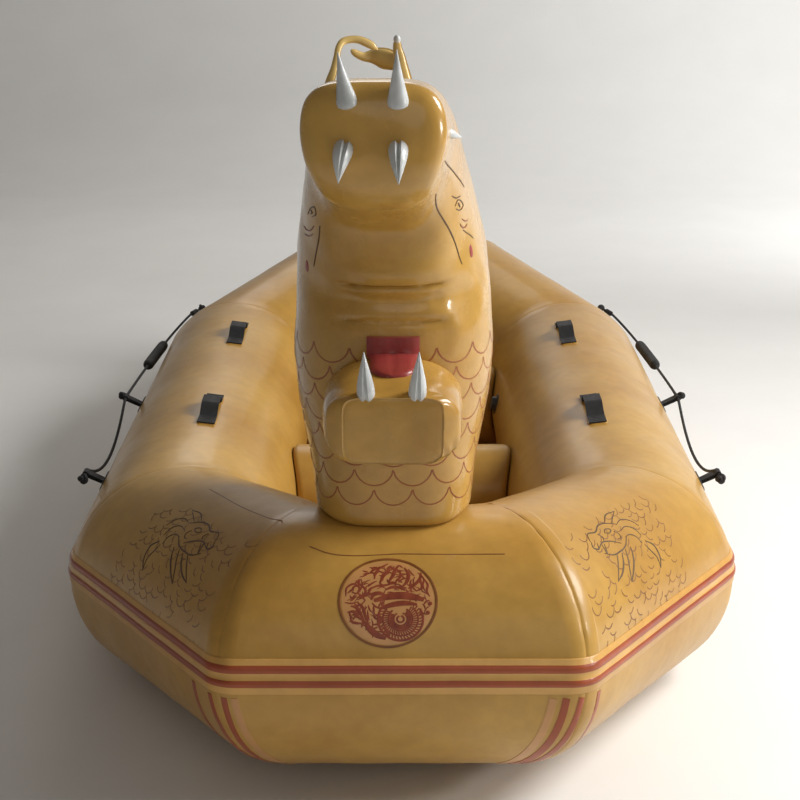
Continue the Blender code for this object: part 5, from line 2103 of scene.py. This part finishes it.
valves = {
    # tube, degrees above the outward horizontal, share of the way along
    "onTubes": (
        ("valve_bow", 0, 168.75, 0.52),
        ("valve_side_port", 1, 168.75, 0.73),
        ("valve_stern", 4, 131.25, 0.45),
        ("valve_side_starboard", 5, 168.75, 0.29),
    ),
    # place, and the way it looks
    "onFlats": (
        ("valve_floor", (0.2, 0.7, 0.1), (0.0, 0.0, 1.0)),
        ("valve_neck", (dragon["x"], dragon["neckBack"], 0.5), (0.0, 1.0, 0.0)),
    ),
    # height, radius
    "profile": (
        (-0.0006, 0.03), (0.0016, 0.03), (0.003, 0.0288), (0.0036, 0.0225), (0.005, 0.0212),
        (0.0135, 0.0206), (0.0152, 0.0196), (0.016, 0.0176), (0.0152, 0.015), (0.0146, 0.006),
    ),
    "knurl": {"depth": 0.022, "ridges": 12, "from": 0.004, "to": 0.0155},
    "sunk": 0.0006,
    "sides": 48,
}


def makeValve(node, base, normal):
    normal = unit(normal)
    side = unit(np.cross(normal, upward if abs(normal[2]) < 0.9 else (1.0, 0.0, 0.0)))
    up = np.cross(normal, side)
    turns = turnsRound(valves["sides"])
    ring = np.outer(np.cos(turns), side) + np.outer(np.sin(turns), up)
    knurl = valves["knurl"]
    ridges = (1 + knurl["depth"] * np.sign(np.sin(turns * knurl["ridges"])))[:, None]
    grid = []
    for height, radius in valves["profile"]:
        knurled = knurl["from"] < height < knurl["to"]
        grid.append(base + normal * height + radius * ring * (ridges if knurled else 1))
    shells = [gridShell(np.array(grid))]
    addShells(pieceName(node) + "Cap", shells, plastic["valve"], "valve_plastic", [node], sharpAngle=35)


def makeValves():
    for node, tube, turn, share in valves["onTubes"]:
        turn = math.radians(turn)
        base = hullSkin(tube, turn, [tubeLength(tube, turn) * share])[0]
        offset, axis = base - hullCorner(tube), tubeAxis(tube)
        outward = offset - (offset @ axis) * axis
        makeValve(node, base - unit(outward) * valves["sunk"], outward)
    for node, place, outward in valves["onFlats"]:
        makeValve(node, np.array(place), outward)


makeValves()
print("valves made")


# Studio: a pale floor that turns up behind, and soft light

studio = {
    "floorColour": (0.88, 0.88, 0.87),
    "floorTones": (0.97, 1.0),
    "floor": {"front": -9.0, "bend": 5.0, "radius": 2.5, "top": 9.0, "halfWidth": 12, "below": 0.0015},
    "world": (1.0, 0.93, 0.85),
    "worldStrength": 0.16,
    # place, aim, size, power, colour
    "lights": (
        ("keyLight", (3.8, -0.6, 3.4), (0.0, -0.3, 0.5), 2.2, 250, (1.0, 0.985, 0.96)),
        ("frontFill", (0.5, -5.4, 2.4), (0.0, -1.0, 0.7), 2.6, 14, (1.0, 0.96, 0.9)),
        ("wallLight", (3.4, 3.0, 2.6), (4.2, 7.0, 1.2), 2.0, 130, (1.0, 0.99, 0.97)),
        ("sideGleam", (2.4, -2.0, 1.3), (0.0, -1.3, 0.95), 0.4, 16, (1.0, 0.98, 0.95)),
        ("backLight", (-0.6, 4.5, 3.4), (0.0, 0.0, 0.4), 2.5, 28, (1.0, 0.96, 0.9)),
    ),
}


def studioFloor():
    look = studio["floor"]
    radius, below = look["radius"], look["below"]
    profile = [(look["front"], -below), (look["bend"], -below)]
    for turn in np.radians(np.linspace(0, 90, 13)):
        profile.append((look["bend"] + radius * math.sin(turn), radius - radius * math.cos(turn) - below))
    profile.append((look["bend"] + radius, look["top"]))
    points = [(x, y, z) for y, z in profile for x in (-look["halfWidth"], look["halfWidth"])]
    faces = [(k, k + 1, k + 3, k + 2) for k in range(0, len(points) - 2, 2)]
    mesh = bpy.data.meshes.new("studioFloor")
    mesh.from_pydata(points, [], faces)
    mesh.shade_smooth()
    material, tree, shader = newMaterial("studioPaper")
    place = addNode(tree, "ShaderNodeTexCoord").outputs["Object"]
    paper = addGrey(tree, addRange(tree, addNoise(tree, place, 3.0), *cloud, *studio["floorTones"]))
    colour = addMix(tree, 1.0, opaque(studio["floorColour"]), paper, "MULTIPLY")
    setInputs(tree, shader, {"Base Color": colour, "Roughness": 0.9})
    mesh.materials.append(material)
    return mesh


def makeStudio():
    addObject("studioFloor", studioFloor())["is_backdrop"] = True
    world = bpy.data.worlds.new("studio")
    world.use_nodes = True
    background = world.node_tree.nodes["Background"]
    background.inputs["Color"].default_value = opaque(studio["world"])
    background.inputs["Strength"].default_value = studio["worldStrength"]
    bpy.context.scene.world = world
    for name, place, aim, size, power, colour in studio["lights"]:
        data = bpy.data.lights.new(name, "AREA")
        data.shape = "DISK"
        data.size = size
        data.energy = power
        data.color = colour
        light = addObject(name, data)
        light.location = place
        light.rotation_euler = (Vector(aim) - Vector(place)).to_track_quat("-Z", "Y").to_euler()
    bpy.context.scene.view_settings.view_transform = "Standard"


makeStudio()
print("studio made")

boxes = {"cad": cadBounds, "visual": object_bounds()}
{key: [list(corner) for corner in box] for key, box in boxes.items()}
